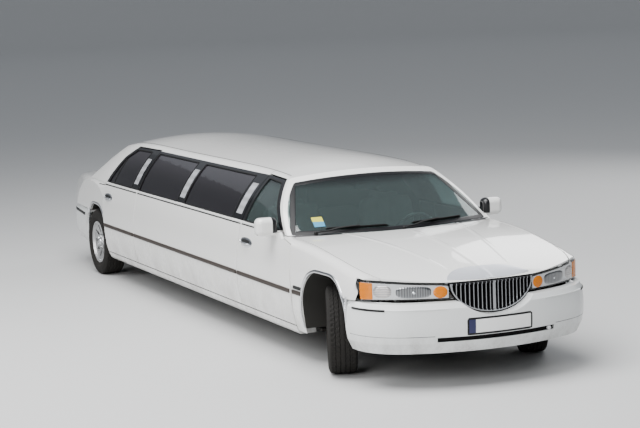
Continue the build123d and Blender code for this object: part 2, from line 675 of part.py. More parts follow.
# Lamps between the bumper and the hood: outline as X and Z
LAMP_INNER_Y = 250.0
LAMP_OUTLINE = [(ahead(520.0), 806.0), (ahead(700.0), 790.0), (ahead(960.0), 757.0),
                (ahead(1100.0), 750.0),
                (ahead(1100.0), 652.0), (ahead(578.0), 652.0)]
LAMP_GAP = 7.0
LAMP_GRILLE_GAP = 9.0
GRILLE_HALF = 338.0
GRILLE_TOP_Z = 762.0
GRILLE_DEPTH_Z = 222.0
lamp_prism = outline_prism(LAMP_OUTLINE, 0.0, LAMP_INNER_Y)
with BuildPart() as grille_clearance:
    with BuildSketch(Plane.YZ.offset(ahead(700.0))):
        with Locations((0, GRILLE_TOP_Z)):
            Ellipse(GRILLE_HALF + LAMP_GRILLE_GAP, GRILLE_DEPTH_Z + LAMP_GRILLE_GAP)
    extrude(amount=500.0)
lamp_room = outline_prism(LAMP_OUTLINE, LAMP_GAP)
BUMPER_TOP_Z = 640.0
bumper_room = box_between((FRONT_ARCH_X, ahead(1200.0)), (-REACH, REACH), (0.0, BUMPER_TOP_Z + PANEL_GAP))
door_side_cut = outline_prism(FRONT_DOOR, PANEL_GAP, COWL_HALF_WIDTH)
rear_of_door = outline_prism([
    (ahead(-FRONT_DOOR_FRONT), 0.0), (ahead(-FRONT_DOOR_FRONT), 600.0), (ahead(-1000.0), 600.0),
    (ahead(-1000.0), 0.0),
], PANEL_GAP)

with BuildPart() as front_fenders:
    add(front_shell)
    add(hood_prism(PANEL_GAP, ahead(-1000.0)), mode=Mode.SUBTRACT)
    add(lamp_room, mode=Mode.SUBTRACT)
    add(bumper_room, mode=Mode.SUBTRACT)
    add(door_side_cut, mode=Mode.SUBTRACT)
    add(rear_of_door, mode=Mode.SUBTRACT)
    add(front_arch, mode=Mode.SUBTRACT)
    add(cabin_outer & box_between((ahead(-1000.0), ahead(-880.0)), (-REACH, REACH), (900.0, 1100.0)),
        mode=Mode.SUBTRACT)
front_fenders.part.label = "front_fenders"
export_step(front_fenders.part, "parts/front_fenders.step")

with BuildPart() as hood:
    add(front_shell)
    add(hood_prism(0.0), mode=Mode.INTERSECT)
    add(lamp_room, mode=Mode.SUBTRACT)
hood.part.label = "hood"
export_step(hood.part, "parts/hood.step")

with BuildPart() as headlamps:
    add(front_outer)
    add(face_prism, mode=Mode.INTERSECT)
    add(lamp_prism, mode=Mode.INTERSECT)
    add(face_back, mode=Mode.SUBTRACT)
    add(grille_clearance.part, mode=Mode.SUBTRACT)
headlamps.part.label = "headlamps"
export_step(headlamps.part, "parts/headlamps.step")

# Trunk lid: its top seen from above and its rear face between the lamps
LID_FRONT_X = ahead(-6475.0)
LID_TOP_SIDE = [(LID_FRONT_X, 700.0), (ahead(-7000.0), 650.0), (ahead(-7330.0), 560.0),
                (ahead(-7560.0), 470.0)]
LID_FACE_HALF = 470.0
LID_FACE_Z = (672.0, 880.0)
LID_FACE_X = ahead(-7250.0)
LID_DECK_Z = 850.0


def lid_prism(grow):
    """Prism over the lid's top and rear face, grown by a gap."""
    with BuildPart() as prism:
        with BuildSketch(Plane.XY.offset(LID_DECK_Z)):
            with BuildLine():
                for side in (-1, 1):
                    Polyline(*[(x, side * y) for x, y in LID_TOP_SIDE])
                for x, y in (LID_TOP_SIDE[0], LID_TOP_SIDE[-1]):
                    Line((x, -y), (x, y))
            make_face()
            if grow:
                offset(amount=grow, kind=Kind.INTERSECTION)
        extrude(amount=400.0)
        add(box_between(
            (LID_FACE_X, ahead(-7700.0)), (-LID_FACE_HALF - grow, LID_FACE_HALF + grow),
            (LID_FACE_Z[0] - grow, LID_FACE_Z[1]),
        ))
    return prism.part


TAIL_LAMP_X = ahead(-7262.0)
TAIL_LAMP_Z = (672.0, 838.0)
TAIL_LAMP_INNER_Y = LID_FACE_HALF + PANEL_GAP + 4.0
quarter_front = [
    (ahead(-REAR_DOOR_REAR), 2000.0), (ahead(-REAR_DOOR_REAR), 790.0), (ahead(-REAR_DOOR_FOOT), 560.0),
    (ahead(-REAR_DOOR_FOOT), 0.0), (ahead(-4000.0), 0.0), (ahead(-4000.0), 2000.0),
]
SHELF_FRONT_X = ahead(-5850.0)
with BuildPart() as quarter_panels:
    add(rear_shell)
    add(outline_prism(quarter_front, PANEL_GAP), mode=Mode.SUBTRACT)
    add(box_between((ahead(-5300.0), SHELF_FRONT_X), (-850.0, 850.0), (850.0, 1100.0)),
        mode=Mode.SUBTRACT)
    add(lid_prism(PANEL_GAP), mode=Mode.SUBTRACT)
    add(box_between((REAR_ARCH_X, ahead(-7700.0)), (-REACH, REACH), (0.0, BUMPER_TOP_Z + PANEL_GAP)),
        mode=Mode.SUBTRACT)
    for side in (-1, 1):
        add(box_between(
            (TAIL_LAMP_X + LAMP_GAP, ahead(-7700.0)), (side * (TAIL_LAMP_INNER_Y - LAMP_GAP),
                                                       side * REACH),
            (TAIL_LAMP_Z[0] - LAMP_GAP, TAIL_LAMP_Z[1] + LAMP_GAP),
        ), mode=Mode.SUBTRACT)
    add(rear_arch, mode=Mode.SUBTRACT)
quarter_panels.part.label = "quarter_panels"
export_step(quarter_panels.part, "parts/quarter_panels.step")

with BuildPart() as trunk_lid:
    add(rear_shell)
    add(lid_prism(0.0), mode=Mode.INTERSECT)
trunk_lid.part.label = "trunk_lid"
export_step(trunk_lid.part, "parts/trunk_lid.step")

with BuildPart() as tail_lamps:
    for side in (-1, 1):
        add(box_between(
            (TAIL_LAMP_X, ahead(-7700.0)), (side * TAIL_LAMP_INNER_Y, side * REACH), TAIL_LAMP_Z
        ))
    add(rear_outer, mode=Mode.INTERSECT)
    add(tail_prism, mode=Mode.INTERSECT)
    add(tail_back, mode=Mode.SUBTRACT)
tail_lamps.part.label = "tail_lamps"
export_step(tail_lamps.part, "parts/tail_lamps.step")

# Bumpers: plan outline at each height, hollow behind, with a ledge on top
BUMPER_ROLL = [(52.0, 272.0), (14.0, 350.0)]
BUMPER_FACE = [(14.0, 350.0), (0.0, 500.0), (8.0, 600.0)]
BUMPER_LIP = [(8.0, 600.0), (30.0, BUMPER_TOP_Z)]
BUMPER_INNER = [(112.0, 230.0), (46.0, 350.0), (32.0, 500.0), (38.0, 600.0), (52.0, BUMPER_TOP_Z - 20.0)]
BUMPER_CLEAR = 10.0
LEDGE_REACH = 108.0
NOTCH_HALF = 352.0
NOTCH_Z = 528.0
NOTCH_BLOCK_HALF = 410.0
SLOT_Z = (357.0, 391.0)
SLOT_HALF = 480.0


def bumper_solid(plan, start_x):
    """Outside of a bumper as a closed block: a rolled foot, a smooth face and a lip."""
    with BuildPart() as block:
        add(plan_block(plan, start_x, BUMPER_ROLL))
        add(plan_block(plan, start_x, BUMPER_FACE, False))
        add(plan_block(plan, start_x, BUMPER_LIP))
    return block.part


def bumper_shadow(plan, start_x):
    """Room that the sheet metal behind leaves for a bumper skin."""
    with BuildPart() as shadow:
        add(plan_block(plan, start_x, [(-20.0, 100.0), (-20.0, BUMPER_TOP_Z + BUMPER_CLEAR)]))
        add(plan_block(plan, start_x, [(inset + BUMPER_CLEAR, height) for inset, height in BUMPER_INNER]),
            mode=Mode.SUBTRACT)
    return shadow.part


def bumper(plan, start_x, solid):
    """Bumper skin with a ledge, from a wheel arch round the end to the other arch."""
    with BuildPart() as skin:
        add(solid)
        add(plan_block(plan, start_x, BUMPER_INNER), mode=Mode.SUBTRACT)
        add(plan_block(plan, start_x, [(LEDGE_REACH, 580.0), (LEDGE_REACH, 700.0)]), mode=Mode.SUBTRACT)
    return skin.part


with BuildPart() as notch:
    with BuildSketch(Plane.YZ.offset(ahead(700.0))):
        with Locations((0, BUMPER_TOP_Z + 127.0)):
            Ellipse(NOTCH_HALF, BUMPER_TOP_Z + 127.0 - NOTCH_Z)
    extrude(amount=500.0)
front_bumper_solid = bumper_solid(BUMPER_PLAN, FRONT_ARCH_X)
rear_bumper_solid = bumper_solid(REAR_BUMPER_PLAN, REAR_ARCH_X)
with BuildPart() as front_bumper:
    add(front_bumper_solid)
    add(plan_block(BUMPER_PLAN, FRONT_ARCH_X, [(LEDGE_REACH, 400.0), (LEDGE_REACH, 700.0)]),
        mode=Mode.SUBTRACT)
    add(box_between((ahead(600.0), ahead(1200.0)), (-NOTCH_BLOCK_HALF, NOTCH_BLOCK_HALF),
                    (500.0, BUMPER_TOP_Z)),
        mode=Mode.INTERSECT)
    add(bumper(BUMPER_PLAN, FRONT_ARCH_X, front_bumper_solid))
    add(notch.part, mode=Mode.SUBTRACT)
    add(front_arch, mode=Mode.SUBTRACT)
    add(box_between((ahead(880.0), ahead(1200.0)), (-SLOT_HALF, SLOT_HALF), SLOT_Z), mode=Mode.SUBTRACT)
front_bumper.part.label = "front_bumper"
export_step(front_bumper.part, "parts/front_bumper.step")

with BuildPart() as rear_bumper:
    add(bumper(REAR_BUMPER_PLAN, REAR_ARCH_X, rear_bumper_solid))
    add(rear_arch, mode=Mode.SUBTRACT)
rear_bumper.part.label = "rear_bumper"
export_step(rear_bumper.part, "parts/rear_bumper.step")

# Grille: surround, upright bars and a back sheet, curved like the face
GRILLE_RIM = 14.0
GRILLE_BARS = 19
GRILLE_BAR_WIDTH = 10.0
GRILLE_CENTRE_BAR = 26.0


def grille_outline(inset):
    """Straight top and half an oval below, local x across and local y up."""
    with BuildSketch() as face:
        with Locations((0, GRILLE_TOP_Z)):
            Ellipse(GRILLE_HALF - inset, GRILLE_DEPTH_Z - inset)
        with Locations((0, GRILLE_TOP_Z - inset - GRILLE_DEPTH_Z)):
            Rectangle(2 * GRILLE_HALF, 2 * GRILLE_DEPTH_Z, mode=Mode.INTERSECT)
    return face.sketch


def face_band(proud, depth):
    """Band along the face from in front of it to a depth behind."""
    front = plan_block(FACE_PLAN, ahead(300.0), [(-proud, 500.0), (-proud, 800.0)])
    return front - plan_block(FACE_PLAN, ahead(300.0), [(depth, 450.0), (depth, 850.0)])


with BuildPart() as grille_room:
    with BuildSketch(Plane.YZ.offset(ahead(800.0))):
        add(grille_outline(0.0))
    extrude(amount=300.0)
with BuildPart() as grille_hole:
    with BuildSketch(Plane.YZ.offset(ahead(800.0))):
        add(grille_outline(GRILLE_RIM))
    extrude(amount=300.0)
pitch = 2 * (GRILLE_HALF - GRILLE_RIM) / (GRILLE_BARS + 1)
with BuildPart() as bars:
    with Locations((ahead(940.0), 0, 650.0)):
        with GridLocations(0, pitch, 1, GRILLE_BARS):
            Box(200.0, GRILLE_BAR_WIDTH, 300.0)
        Box(200.0, GRILLE_CENTRE_BAR, 300.0)
    add(grille_hole.part, mode=Mode.INTERSECT)
    add(face_band(6.0, 30.0), mode=Mode.INTERSECT)
with BuildPart() as grille:
    add(grille_room.part)
    add(face_band(12.0, 40.0), mode=Mode.INTERSECT)
    add(grille_hole.part, mode=Mode.SUBTRACT)
    add((grille_hole.part & face_band(-28.0, 40.0)))
    add(bars.part)
grille.part.label = "grille"
export_step(grille.part, "parts/grille.step")

# Rocker sills below the doors, between the wheel arches
ROCKER_INNER_Y = 780.0
ROCKER_INNER_Z = 225.0
with BuildPart() as rocker_sills:
    for side in (-1, 1):
        with BuildSketch(Plane.YZ.offset(ahead(-FRONT_DOOR_FRONT - PANEL_GAP))):
            with BuildLine():
                Line((side * ROCKER_INNER_Y, ROCKER_INNER_Z),
                     (side * (SILL_HALF_WIDTH - 20.0), ROCKER_INNER_Z))
                Line((side * (SILL_HALF_WIDTH - 20.0), ROCKER_INNER_Z), (side * SILL_HALF_WIDTH, SILL_Z))
                Line((side * SILL_HALF_WIDTH, SILL_Z),
                     (side * (SILL_HALF_WIDTH + 14.0), ROCKER_TOP_Z - PANEL_GAP))
                Line((side * (SILL_HALF_WIDTH + 14.0), ROCKER_TOP_Z - PANEL_GAP),
                     (side * ROCKER_INNER_Y, ROCKER_TOP_Z - PANEL_GAP))
                Line((side * ROCKER_INNER_Y, ROCKER_TOP_Z - PANEL_GAP),
                     (side * ROCKER_INNER_Y, ROCKER_INNER_Z))
            make_face()
        extrude(amount=FRONT_DOOR_FRONT + PANEL_GAP - REAR_DOOR_FOOT)
rocker_sills.part.label = "rocker_sills"
export_step(rocker_sills.part, "parts/rocker_sills.step")

# Floor pan: tunnel section, firewall, heel board, rear floor and wheel houses
FLOOR_HALF = ROCKER_INNER_Y - RUNNING_GAP
HEEL_X = ahead(-HEEL_BOARD)
APRON_BASE_Z = 460.0
APRON_FRONT_X = ahead(720.0)
SHAFT_HOLE = (80.0, 410.0)
REAR_FLOOR_HALF = REAR_TUB_Y - LINER
FLOOR_REAR_X = ahead(-7340.0)


def wheel_house(centre_x, top, inner_y, base_z, filled):
    """Liner over both wheels of an axle, from an inner wall out to the body side."""
    with BuildPart() as house:
        add(arch_prism(centre_x, top, LINER))
        add(box_between(
            (centre_x - 2 * ARCH_HALF, centre_x + 2 * ARCH_HALF), (-inner_y + LINER, inner_y - LINER),
            (-400.0, 1200.0)
        ), mode=Mode.SUBTRACT)
        add(box_between(
            (centre_x - 2 * ARCH_HALF, centre_x + 2 * ARCH_HALF), (-REACH, REACH), (-400.0, base_z)
        ), mode=Mode.SUBTRACT)
        for side in (-1, 1):
            add(arch_prism(centre_x, top, 0.0) & box_between(
                (centre_x - 2 * ARCH_HALF, centre_x + 2 * ARCH_HALF), (side * inner_y, side * REACH),
                (-400.0, 1200.0)
            ), mode=Mode.SUBTRACT)
        add(filled, mode=Mode.INTERSECT)
    return house.part


with BuildPart() as floor_pan:
    with BuildSketch(Plane.YZ.offset(HEEL_X)):
        with BuildLine():
            Polyline(
                (-FLOOR_HALF, FLOOR_Z), (-TUNNEL_HALF - 40.0, FLOOR_Z),
                (-TUNNEL_HALF, FLOOR_Z + TUNNEL_RISE),
                (TUNNEL_HALF, FLOOR_Z + TUNNEL_RISE), (TUNNEL_HALF + 40.0, FLOOR_Z),
                (FLOOR_HALF, FLOOR_Z),
                (FLOOR_HALF, FLOOR_Z + FLOOR_SHEET), (TUNNEL_HALF + 56.0, FLOOR_Z + FLOOR_SHEET),
                (TUNNEL_HALF + 16.0, FLOOR_Z + TUNNEL_RISE + FLOOR_SHEET),
                (-TUNNEL_HALF - 16.0, FLOOR_Z + TUNNEL_RISE + FLOOR_SHEET),
                (-TUNNEL_HALF - 56.0, FLOOR_Z + FLOOR_SHEET), (-FLOOR_HALF, FLOOR_Z + FLOOR_SHEET),
                close=True,
            )
        make_face()
    extrude(amount=ahead(-460.0) - HEEL_X)
    add(box_between((HEEL_X - FLOOR_SHEET, HEEL_X), (-FLOOR_HALF, FLOOR_HALF),
                    (FLOOR_Z, REAR_FLOOR_Z + FLOOR_SHEET)))
    add(box_between((HEEL_X - FLOOR_SHEET, HEEL_X), (-SHAFT_HOLE[0], SHAFT_HOLE[0]),
                    (0.0, SHAFT_HOLE[1])),
        mode=Mode.SUBTRACT)
    add(box_between((ahead(-5640.0), HEEL_X), (-FLOOR_HALF, FLOOR_HALF),
                    (REAR_FLOOR_Z, REAR_FLOOR_Z + FLOOR_SHEET)))
    add(box_between((FLOOR_REAR_X, HEEL_X), (-REAR_FLOOR_HALF, REAR_FLOOR_HALF),
                    (REAR_FLOOR_Z, REAR_FLOOR_Z + FLOOR_SHEET)))
    add(wheel_house(REAR_ARCH_X, REAR_ARCH_TOP, REAR_TUB_Y, 300.0, rear_inner & tail_inner))
    add(box_between((ahead(-720.0), ahead(-700.0)), (-FLOOR_HALF, FLOOR_HALF), (FLOOR_Z, COWL_BASE_Z)))
    add(box_between((ahead(-740.0), ahead(-680.0)), (-SHAFT_HOLE[0], SHAFT_HOLE[0]),
                    (0.0, SHAFT_HOLE[1])),
        mode=Mode.SUBTRACT)
    for side in (-1, 1):
        add(box_between((ahead(-720.0), APRON_FRONT_X), (side * (APRON_Y - LINER), side * APRON_Y),
                        (APRON_BASE_Z, ARCH_CLEAR_TOP)))
    add(wheel_house(FRONT_ARCH_X, ARCH_CLEAR_TOP, APRON_Y, 300.0, front_inner))
    add(bumper_shadow(BUMPER_PLAN, FRONT_ARCH_X), mode=Mode.SUBTRACT)
    add(bumper_shadow(REAR_BUMPER_PLAN, REAR_ARCH_X), mode=Mode.SUBTRACT)
    for side in (-1, 1):
        add(box_between((ahead(-95.0), ahead(95.0)),
                        (side * (APRON_Y - 2 * LINER), side * (APRON_Y + LINER)), (0.0, 470.0)),
            mode=Mode.SUBTRACT)
        add(box_between((REAR_AXLE_X - 70.0, REAR_AXLE_X + 70.0),
                        (side * (REAR_TUB_Y - 2 * LINER), side * (REAR_TUB_Y + LINER)), (0.0, 410.0)),
                        mode=Mode.SUBTRACT)
floor_pan.part.label = "floor_pan"
export_step(floor_pan.part, "parts/floor_pan.step")

# Chassis frame: two rails kicked up over both axles, joined by cross members
FRAME_BASE_Z = FLOOR_Z - RAIL_HEIGHT
FRAME_FRONT_Z = 300.0
FRAME_REAR_Z = REAR_FLOOR_Z - RAIL_HEIGHT
FRAME_TAIL_Z = 330.0
RAIL_LINE = [(ahead(890.0), FRAME_FRONT_Z), (ahead(-250.0), FRAME_FRONT_Z), (ahead(-440.0), FRAME_BASE_Z),
             (ahead(-5375.0), FRAME_BASE_Z), (ahead(-5610.0), FRAME_REAR_Z),
             (ahead(-6480.0), FRAME_REAR_Z),
             (ahead(-6700.0), FRAME_TAIL_Z), (ahead(-7290.0), FRAME_TAIL_Z)]
CROSS_MEMBERS = [-900.0, -2200.0, -3400.0, -4200.0, -5150.0]
CROSS_SIZE = (90.0, 34.0)
TUBE_MEMBERS = [(-6600.0, FRAME_TAIL_Z + 60.0), (-7250.0, FRAME_TAIL_Z + 30.0),
                (800.0, FRAME_FRONT_Z + 40.0)]
TUBE_RADIUS = 28.0
with BuildPart() as chassis_frame:
    for side in (-1, 1):
        with BuildSketch(Plane.XZ.offset(-side * RAIL_INNER_Y)):
            with BuildLine():
                Polyline(*RAIL_LINE, *[(x, z + RAIL_HEIGHT) for x, z in reversed(RAIL_LINE)], close=True)
            make_face()
        extrude(amount=-side * RAIL_WIDTH)
    with Locations(*[(ahead(x), 0, FRAME_BASE_Z + CROSS_SIZE[1] / 2) for x in CROSS_MEMBERS]):
        Box(CROSS_SIZE[0], 2 * RAIL_INNER_Y + RAIL_WIDTH, CROSS_SIZE[1])
    with Locations(*[Location((ahead(x), 0, z), (90, 0, 0)) for x, z in TUBE_MEMBERS]):
        Cylinder(TUBE_RADIUS, 2 * RAIL_INNER_Y + RAIL_WIDTH)
chassis_frame.part.label = "chassis_frame"
export_step(chassis_frame.part, "parts/chassis_frame.step")

# Engine, exhaust and fuel tank
ENGINE_X = (ahead(-380.0), ahead(360.0))
ENGINE_HALF = 270.0
ENGINE_Z = (FRAME_FRONT_Z + 10.0, 760.0)
with BuildPart() as engine_block:
    add(box_between(ENGINE_X, (-ENGINE_HALF, ENGINE_HALF), ENGINE_Z))
    chamfer(engine_block.edges().filter_by(Axis.X).group_by(Axis.Z)[-1], 110.0)
engine_block.part.label = "engine_block"
export_step(engine_block.part, "parts/engine_block.step")

EXHAUST_Y = -260.0
EXHAUST_Z = 227.0
EXHAUST_RADIUS = 20.0
MUFFLER_X = (ahead(-5000.0), ahead(-4350.0))
MUFFLER_HALF = 105.0
MUFFLER_Z = (172.0, FLOOR_Z)
with BuildPart() as exhaust:
    with BuildSketch(Plane.YZ.offset(ahead(-7300.0))):
        with Locations((EXHAUST_Y, EXHAUST_Z)):
            Circle(EXHAUST_RADIUS)
    extrude(amount=7300.0 - 520.0)
    add(box_between(MUFFLER_X, (EXHAUST_Y - MUFFLER_HALF, EXHAUST_Y + MUFFLER_HALF), MUFFLER_Z))
    fillet(exhaust.edges().filter_by(Axis.X).filter_by(lambda edge: edge.length < 1000.0), 30.0)
exhaust.part.label = "exhaust"
export_step(exhaust.part, "parts/exhaust.step")

TANK_X = (ahead(-7150.0), ahead(-6680.0))
TANK_Y = (-200.0, RAIL_INNER_Y - 10.0)
TANK_Z = (250.0, REAR_FLOOR_Z)
with BuildPart() as fuel_tank:
    add(box_between(TANK_X, TANK_Y, TANK_Z))
    fillet(fuel_tank.edges().filter_by(Axis.Z), 60.0)
    fillet(fuel_tank.edges().group_by(Axis.Z)[0], 30.0)
fuel_tank.part.label = "fuel_tank"
export_step(fuel_tank.part, "parts/fuel_tank.step")

# Rear axle with its differential, hub flanges and propeller shaft
AXLE_RADIUS = 42.0
DIFF_RADIUS = 125.0
REAR_FACE_Y = REAR_TRACK / 2
SPINDLE_RADIUS = HUB_RADIUS - RUNNING_GAP
WHEEL_BACK = 50.0
SHAFT_RADIUS = 34.0
SHAFT_FRONT_X = ahead(-560.0)
with BuildPart() as rear_axle:
    with Locations(Location((REAR_AXLE_X, 0, TYRE_RADIUS), (90, 0, 0))):
        Cylinder(AXLE_RADIUS, 2 * (REAR_FACE_Y - WHEEL_BACK) - 20.0)
        Cylinder(SPINDLE_RADIUS, 2 * REAR_FACE_Y + 20.0)
    with Locations((REAR_AXLE_X, 0, TYRE_RADIUS)):
        Sphere(DIFF_RADIUS)
    with BuildSketch(Plane.YZ.offset(REAR_AXLE_X)):
        with Locations((0, TYRE_RADIUS - 8.0)):
            Circle(SHAFT_RADIUS)
    extrude(amount=SHAFT_FRONT_X - REAR_AXLE_X)
rear_axle.part.label = "rear_axle"
export_step(rear_axle.part, "parts/rear_axle.step")

# Wheels: rim barrel with a dished centre and openings, and a plain tyre
WHEEL_SPOKES = 10
RIM_WALL = 9.0
RIM_LIP = 12.0
DISC_Y = 46.0
DISC_THICKNESS = 26.0
with BuildPart() as wheel_form:
    with BuildSketch(Plane.XY):
        with BuildLine():
            Polyline(
                (RIM_RADIUS, -RIM_WIDTH / 2), (RIM_RADIUS, RIM_WIDTH / 2),
                (RIM_RADIUS - RIM_LIP, RIM_WIDTH / 2),
                (RIM_RADIUS - RIM_LIP - 10.0, DISC_Y + DISC_THICKNESS),
                (HUB_RADIUS + 46.0, DISC_Y + DISC_THICKNESS - 22.0),
                (HUB_RADIUS + 40.0, DISC_Y + DISC_THICKNESS), (0.0, DISC_Y + DISC_THICKNESS),
                (0.0, DISC_Y - 10.0),
                (HUB_RADIUS, DISC_Y - 10.0), (HUB_RADIUS, -40.0), (HUB_RADIUS + 30.0, -40.0),
                (HUB_RADIUS + 40.0, DISC_Y - 20.0), (RIM_RADIUS - RIM_LIP - 16.0, DISC_Y),
                (RIM_RADIUS - RIM_LIP, -RIM_WIDTH / 2), close=True,
            )
        make_face()
    revolve(axis=Axis.Y)
    with BuildSketch(Plane.XZ) as windows:
        with PolarLocations(142.0, WHEEL_SPOKES):
            SlotCenterToCenter(44.0, 34.0)
    extrude(amount=REACH, both=True, mode=Mode.SUBTRACT)
with BuildPart() as tyre_form:
    with BuildSketch(Plane.XY):
        with BuildLine():
            Polyline(
                (RIM_RADIUS, -TYRE_WIDTH / 2), (TYRE_RADIUS - TYRE_SHOULDER, -TYRE_WIDTH / 2),
                (TYRE_RADIUS, TYRE_SHOULDER - TYRE_WIDTH / 2),
                (TYRE_RADIUS, TYRE_WIDTH / 2 - TYRE_SHOULDER),
                (TYRE_RADIUS - TYRE_SHOULDER, TYRE_WIDTH / 2), (RIM_RADIUS, TYRE_WIDTH / 2), close=True,
            )
        make_face()
    revolve(axis=Axis.Y)

# Each wheel's place: centre, and turn about the upright
KINGPIN_Y = 710.0
KINGPIN_RADIUS = 15.0
WHEEL_SEATS = []
for index, side, side_name in SIDES:
    WHEEL_SEATS.append(("rear_" + side_name, Location((REAR_AXLE_X, side * REAR_FACE_Y, TYRE_RADIUS),
                                                      (0, 0, 90 - 90 * side))))
    pivot = Location((FRONT_AXLE_X, side * KINGPIN_Y, TYRE_RADIUS), (0, 0, -STEER_REST))
    out = Location((0, side * (FRONT_TRACK / 2 - KINGPIN_Y), 0), (0, 0, 90 - 90 * side))
    WHEEL_SEATS.append(("front_" + side_name, pivot * out))
for seat_name, seat in WHEEL_SEATS:
    with BuildPart() as wheel:
        with Locations(seat):
            add(wheel_form.part)
    wheel.part.label = seat_name + "_wheel"
    export_step(wheel.part, "parts/" + seat_name + "_wheel.step")
    with BuildPart() as tyre:
        with Locations(seat):
            add(tyre_form.part)
    tyre.part.label = seat_name + "_tyre"
    export_step(tyre.part, "parts/" + seat_name + "_tyre.step")

# Knuckles turn about upright kingpins and carry the front spindles
KNUCKLE_HALF = 62.0
KNUCKLE_WIDTH = 54.0
SPINDLE_REACH = 115.0
ARM_Z = (TYRE_RADIUS - 108.0, TYRE_RADIUS + 92.0)
ARM_HEIGHT = 28.0
for index, side, side_name in SIDES:
    with BuildPart() as knuckle:
        with Locations(Location((FRONT_AXLE_X, side * KINGPIN_Y, TYRE_RADIUS), (0, 0, -STEER_REST))):
            Cylinder(KINGPIN_RADIUS, ARM_Z[1] - ARM_Z[0] + ARM_HEIGHT + 16.0)
            Box(KNUCKLE_WIDTH, KNUCKLE_WIDTH, 2 * KNUCKLE_HALF)
            with Locations(Location((0, side * SPINDLE_REACH / 2, 0), (90, 0, 0))):
                Cylinder(SPINDLE_RADIUS, SPINDLE_REACH)
    knuckle.part.label = side_name + "_knuckle"
    export_step(knuckle.part, "parts/" + side_name + "_knuckle.step")

# Front suspension: cross member under the engine, arms with eyes round the kingpins
EYE_RADIUS = 34.0
ARM_SPREAD = 150.0
MEMBER_Z = (210.0, FRAME_FRONT_Z)
with BuildPart() as front_suspension:
    add(box_between((ahead(-90.0), ahead(90.0)),
                    (-RAIL_INNER_Y - RAIL_WIDTH, RAIL_INNER_Y + RAIL_WIDTH), MEMBER_Z))
    for side in (-1, 1):
        add(box_between((ahead(-70.0), ahead(70.0)),
                        (side * (RAIL_INNER_Y + RAIL_WIDTH), side * (APRON_Y - LINER - 6.0)),
                        (MEMBER_Z[0], ARM_Z[1] + 24.0)))
        for height in ARM_Z:
            with BuildSketch(Plane.XY.offset(height - ARM_HEIGHT / 2)):
                with BuildLine():
                    Polyline(
                        (ahead(-ARM_SPREAD / 2), side * (RAIL_INNER_Y + RAIL_WIDTH + 8.0)),
                        (ahead(ARM_SPREAD / 2), side * (RAIL_INNER_Y + RAIL_WIDTH + 8.0)),
                        (ahead(26.0), side * KINGPIN_Y), (ahead(-26.0), side * KINGPIN_Y), close=True,
                    )
                make_face()
                with Locations((FRONT_AXLE_X, side * KINGPIN_Y)):
                    Circle(EYE_RADIUS)
            extrude(amount=ARM_HEIGHT)
        with Locations((FRONT_AXLE_X, side * KINGPIN_Y, TYRE_RADIUS)):
            Cylinder(KINGPIN_RADIUS + RUNNING_GAP, 600.0, mode=Mode.SUBTRACT)
front_suspension.part.label = "front_suspension"
export_step(front_suspension.part, "parts/front_suspension.step")

# Interior: dashboard with wheel, seats, partition and lounge
DASH_HALF = 780.0
STEERING_Y = 370.0
STEERING_RADIUS = 185.0
with BuildPart() as dash_top:
    add(box_between((ahead(-900.0), ahead(-480.0)), (-DASH_HALF, DASH_HALF), (921.0, 941.0)))
    add(screen_block(*between_heights(front_rows, COWL_BASE_Z - 15.0, SCREEN_FOOT_Z), -BAR_DEPTH - 4.0,
                     600.0, 220.0, 1),
        mode=Mode.SUBTRACT)
with BuildPart() as dashboard:
    with BuildSketch(Plane.XZ.offset(-DASH_HALF)):
        with BuildLine():
            Polyline(
                (ahead(-805.0), 940.0), (ahead(-930.0), 955.0), (ahead(-1035.0), 905.0),
                (ahead(-1010.0), 760.0),
                (ahead(-900.0), 650.0), (ahead(-805.0), 650.0), close=True,
            )
        make_face()
    extrude(amount=2 * DASH_HALF)
    add(box_between((ahead(-1000.0), ahead(-805.0)), (-TUNNEL_HALF, TUNNEL_HALF),
                    (FLOOR_Z + TUNNEL_RISE + FLOOR_SHEET, 700.0)))
    add(dash_top.part)
    with Locations(Location((ahead(-1060.0), STEERING_Y, 812.0), (0, -68, 0))):
        Cylinder(26.0, 190.0)
    with Locations(Location((ahead(-1140.0), STEERING_Y, 845.0), (0, -68, 0))):
        Torus(STEERING_RADIUS, 15.0)
        Box(2 * STEERING_RADIUS, 46.0, 22.0)
        Cylinder(60.0, 40.0)
dashboard.part.label = "dashboard"
export_step(dashboard.part, "parts/dashboard.step")

SEAT_TOP_Z = 570.0
CABIN_FLOOR_Z = FLOOR_Z + FLOOR_SHEET
with BuildPart() as front_seats:
    for side in (-1, 1):
        with BuildSketch(Plane.XZ.offset(-side * 180.0)):
            with BuildLine():
                Polyline(
                    (ahead(-1310.0), CABIN_FLOOR_Z), (ahead(-1290.0), SEAT_TOP_Z),
                    (ahead(-1720.0), SEAT_TOP_Z - 30.0),
                    (ahead(-1850.0), 1130.0), (ahead(-1930.0), 1130.0), (ahead(-1860.0), CABIN_FLOOR_Z),
                    close=True,
                )
            make_face()
        extrude(amount=-side * 520.0)
front_seats.part.label = "front_seats"
export_step(front_seats.part, "parts/front_seats.step")

PARTITION_X = (-2050.0, -2020.0)
PARTITION_GAP = 2.0
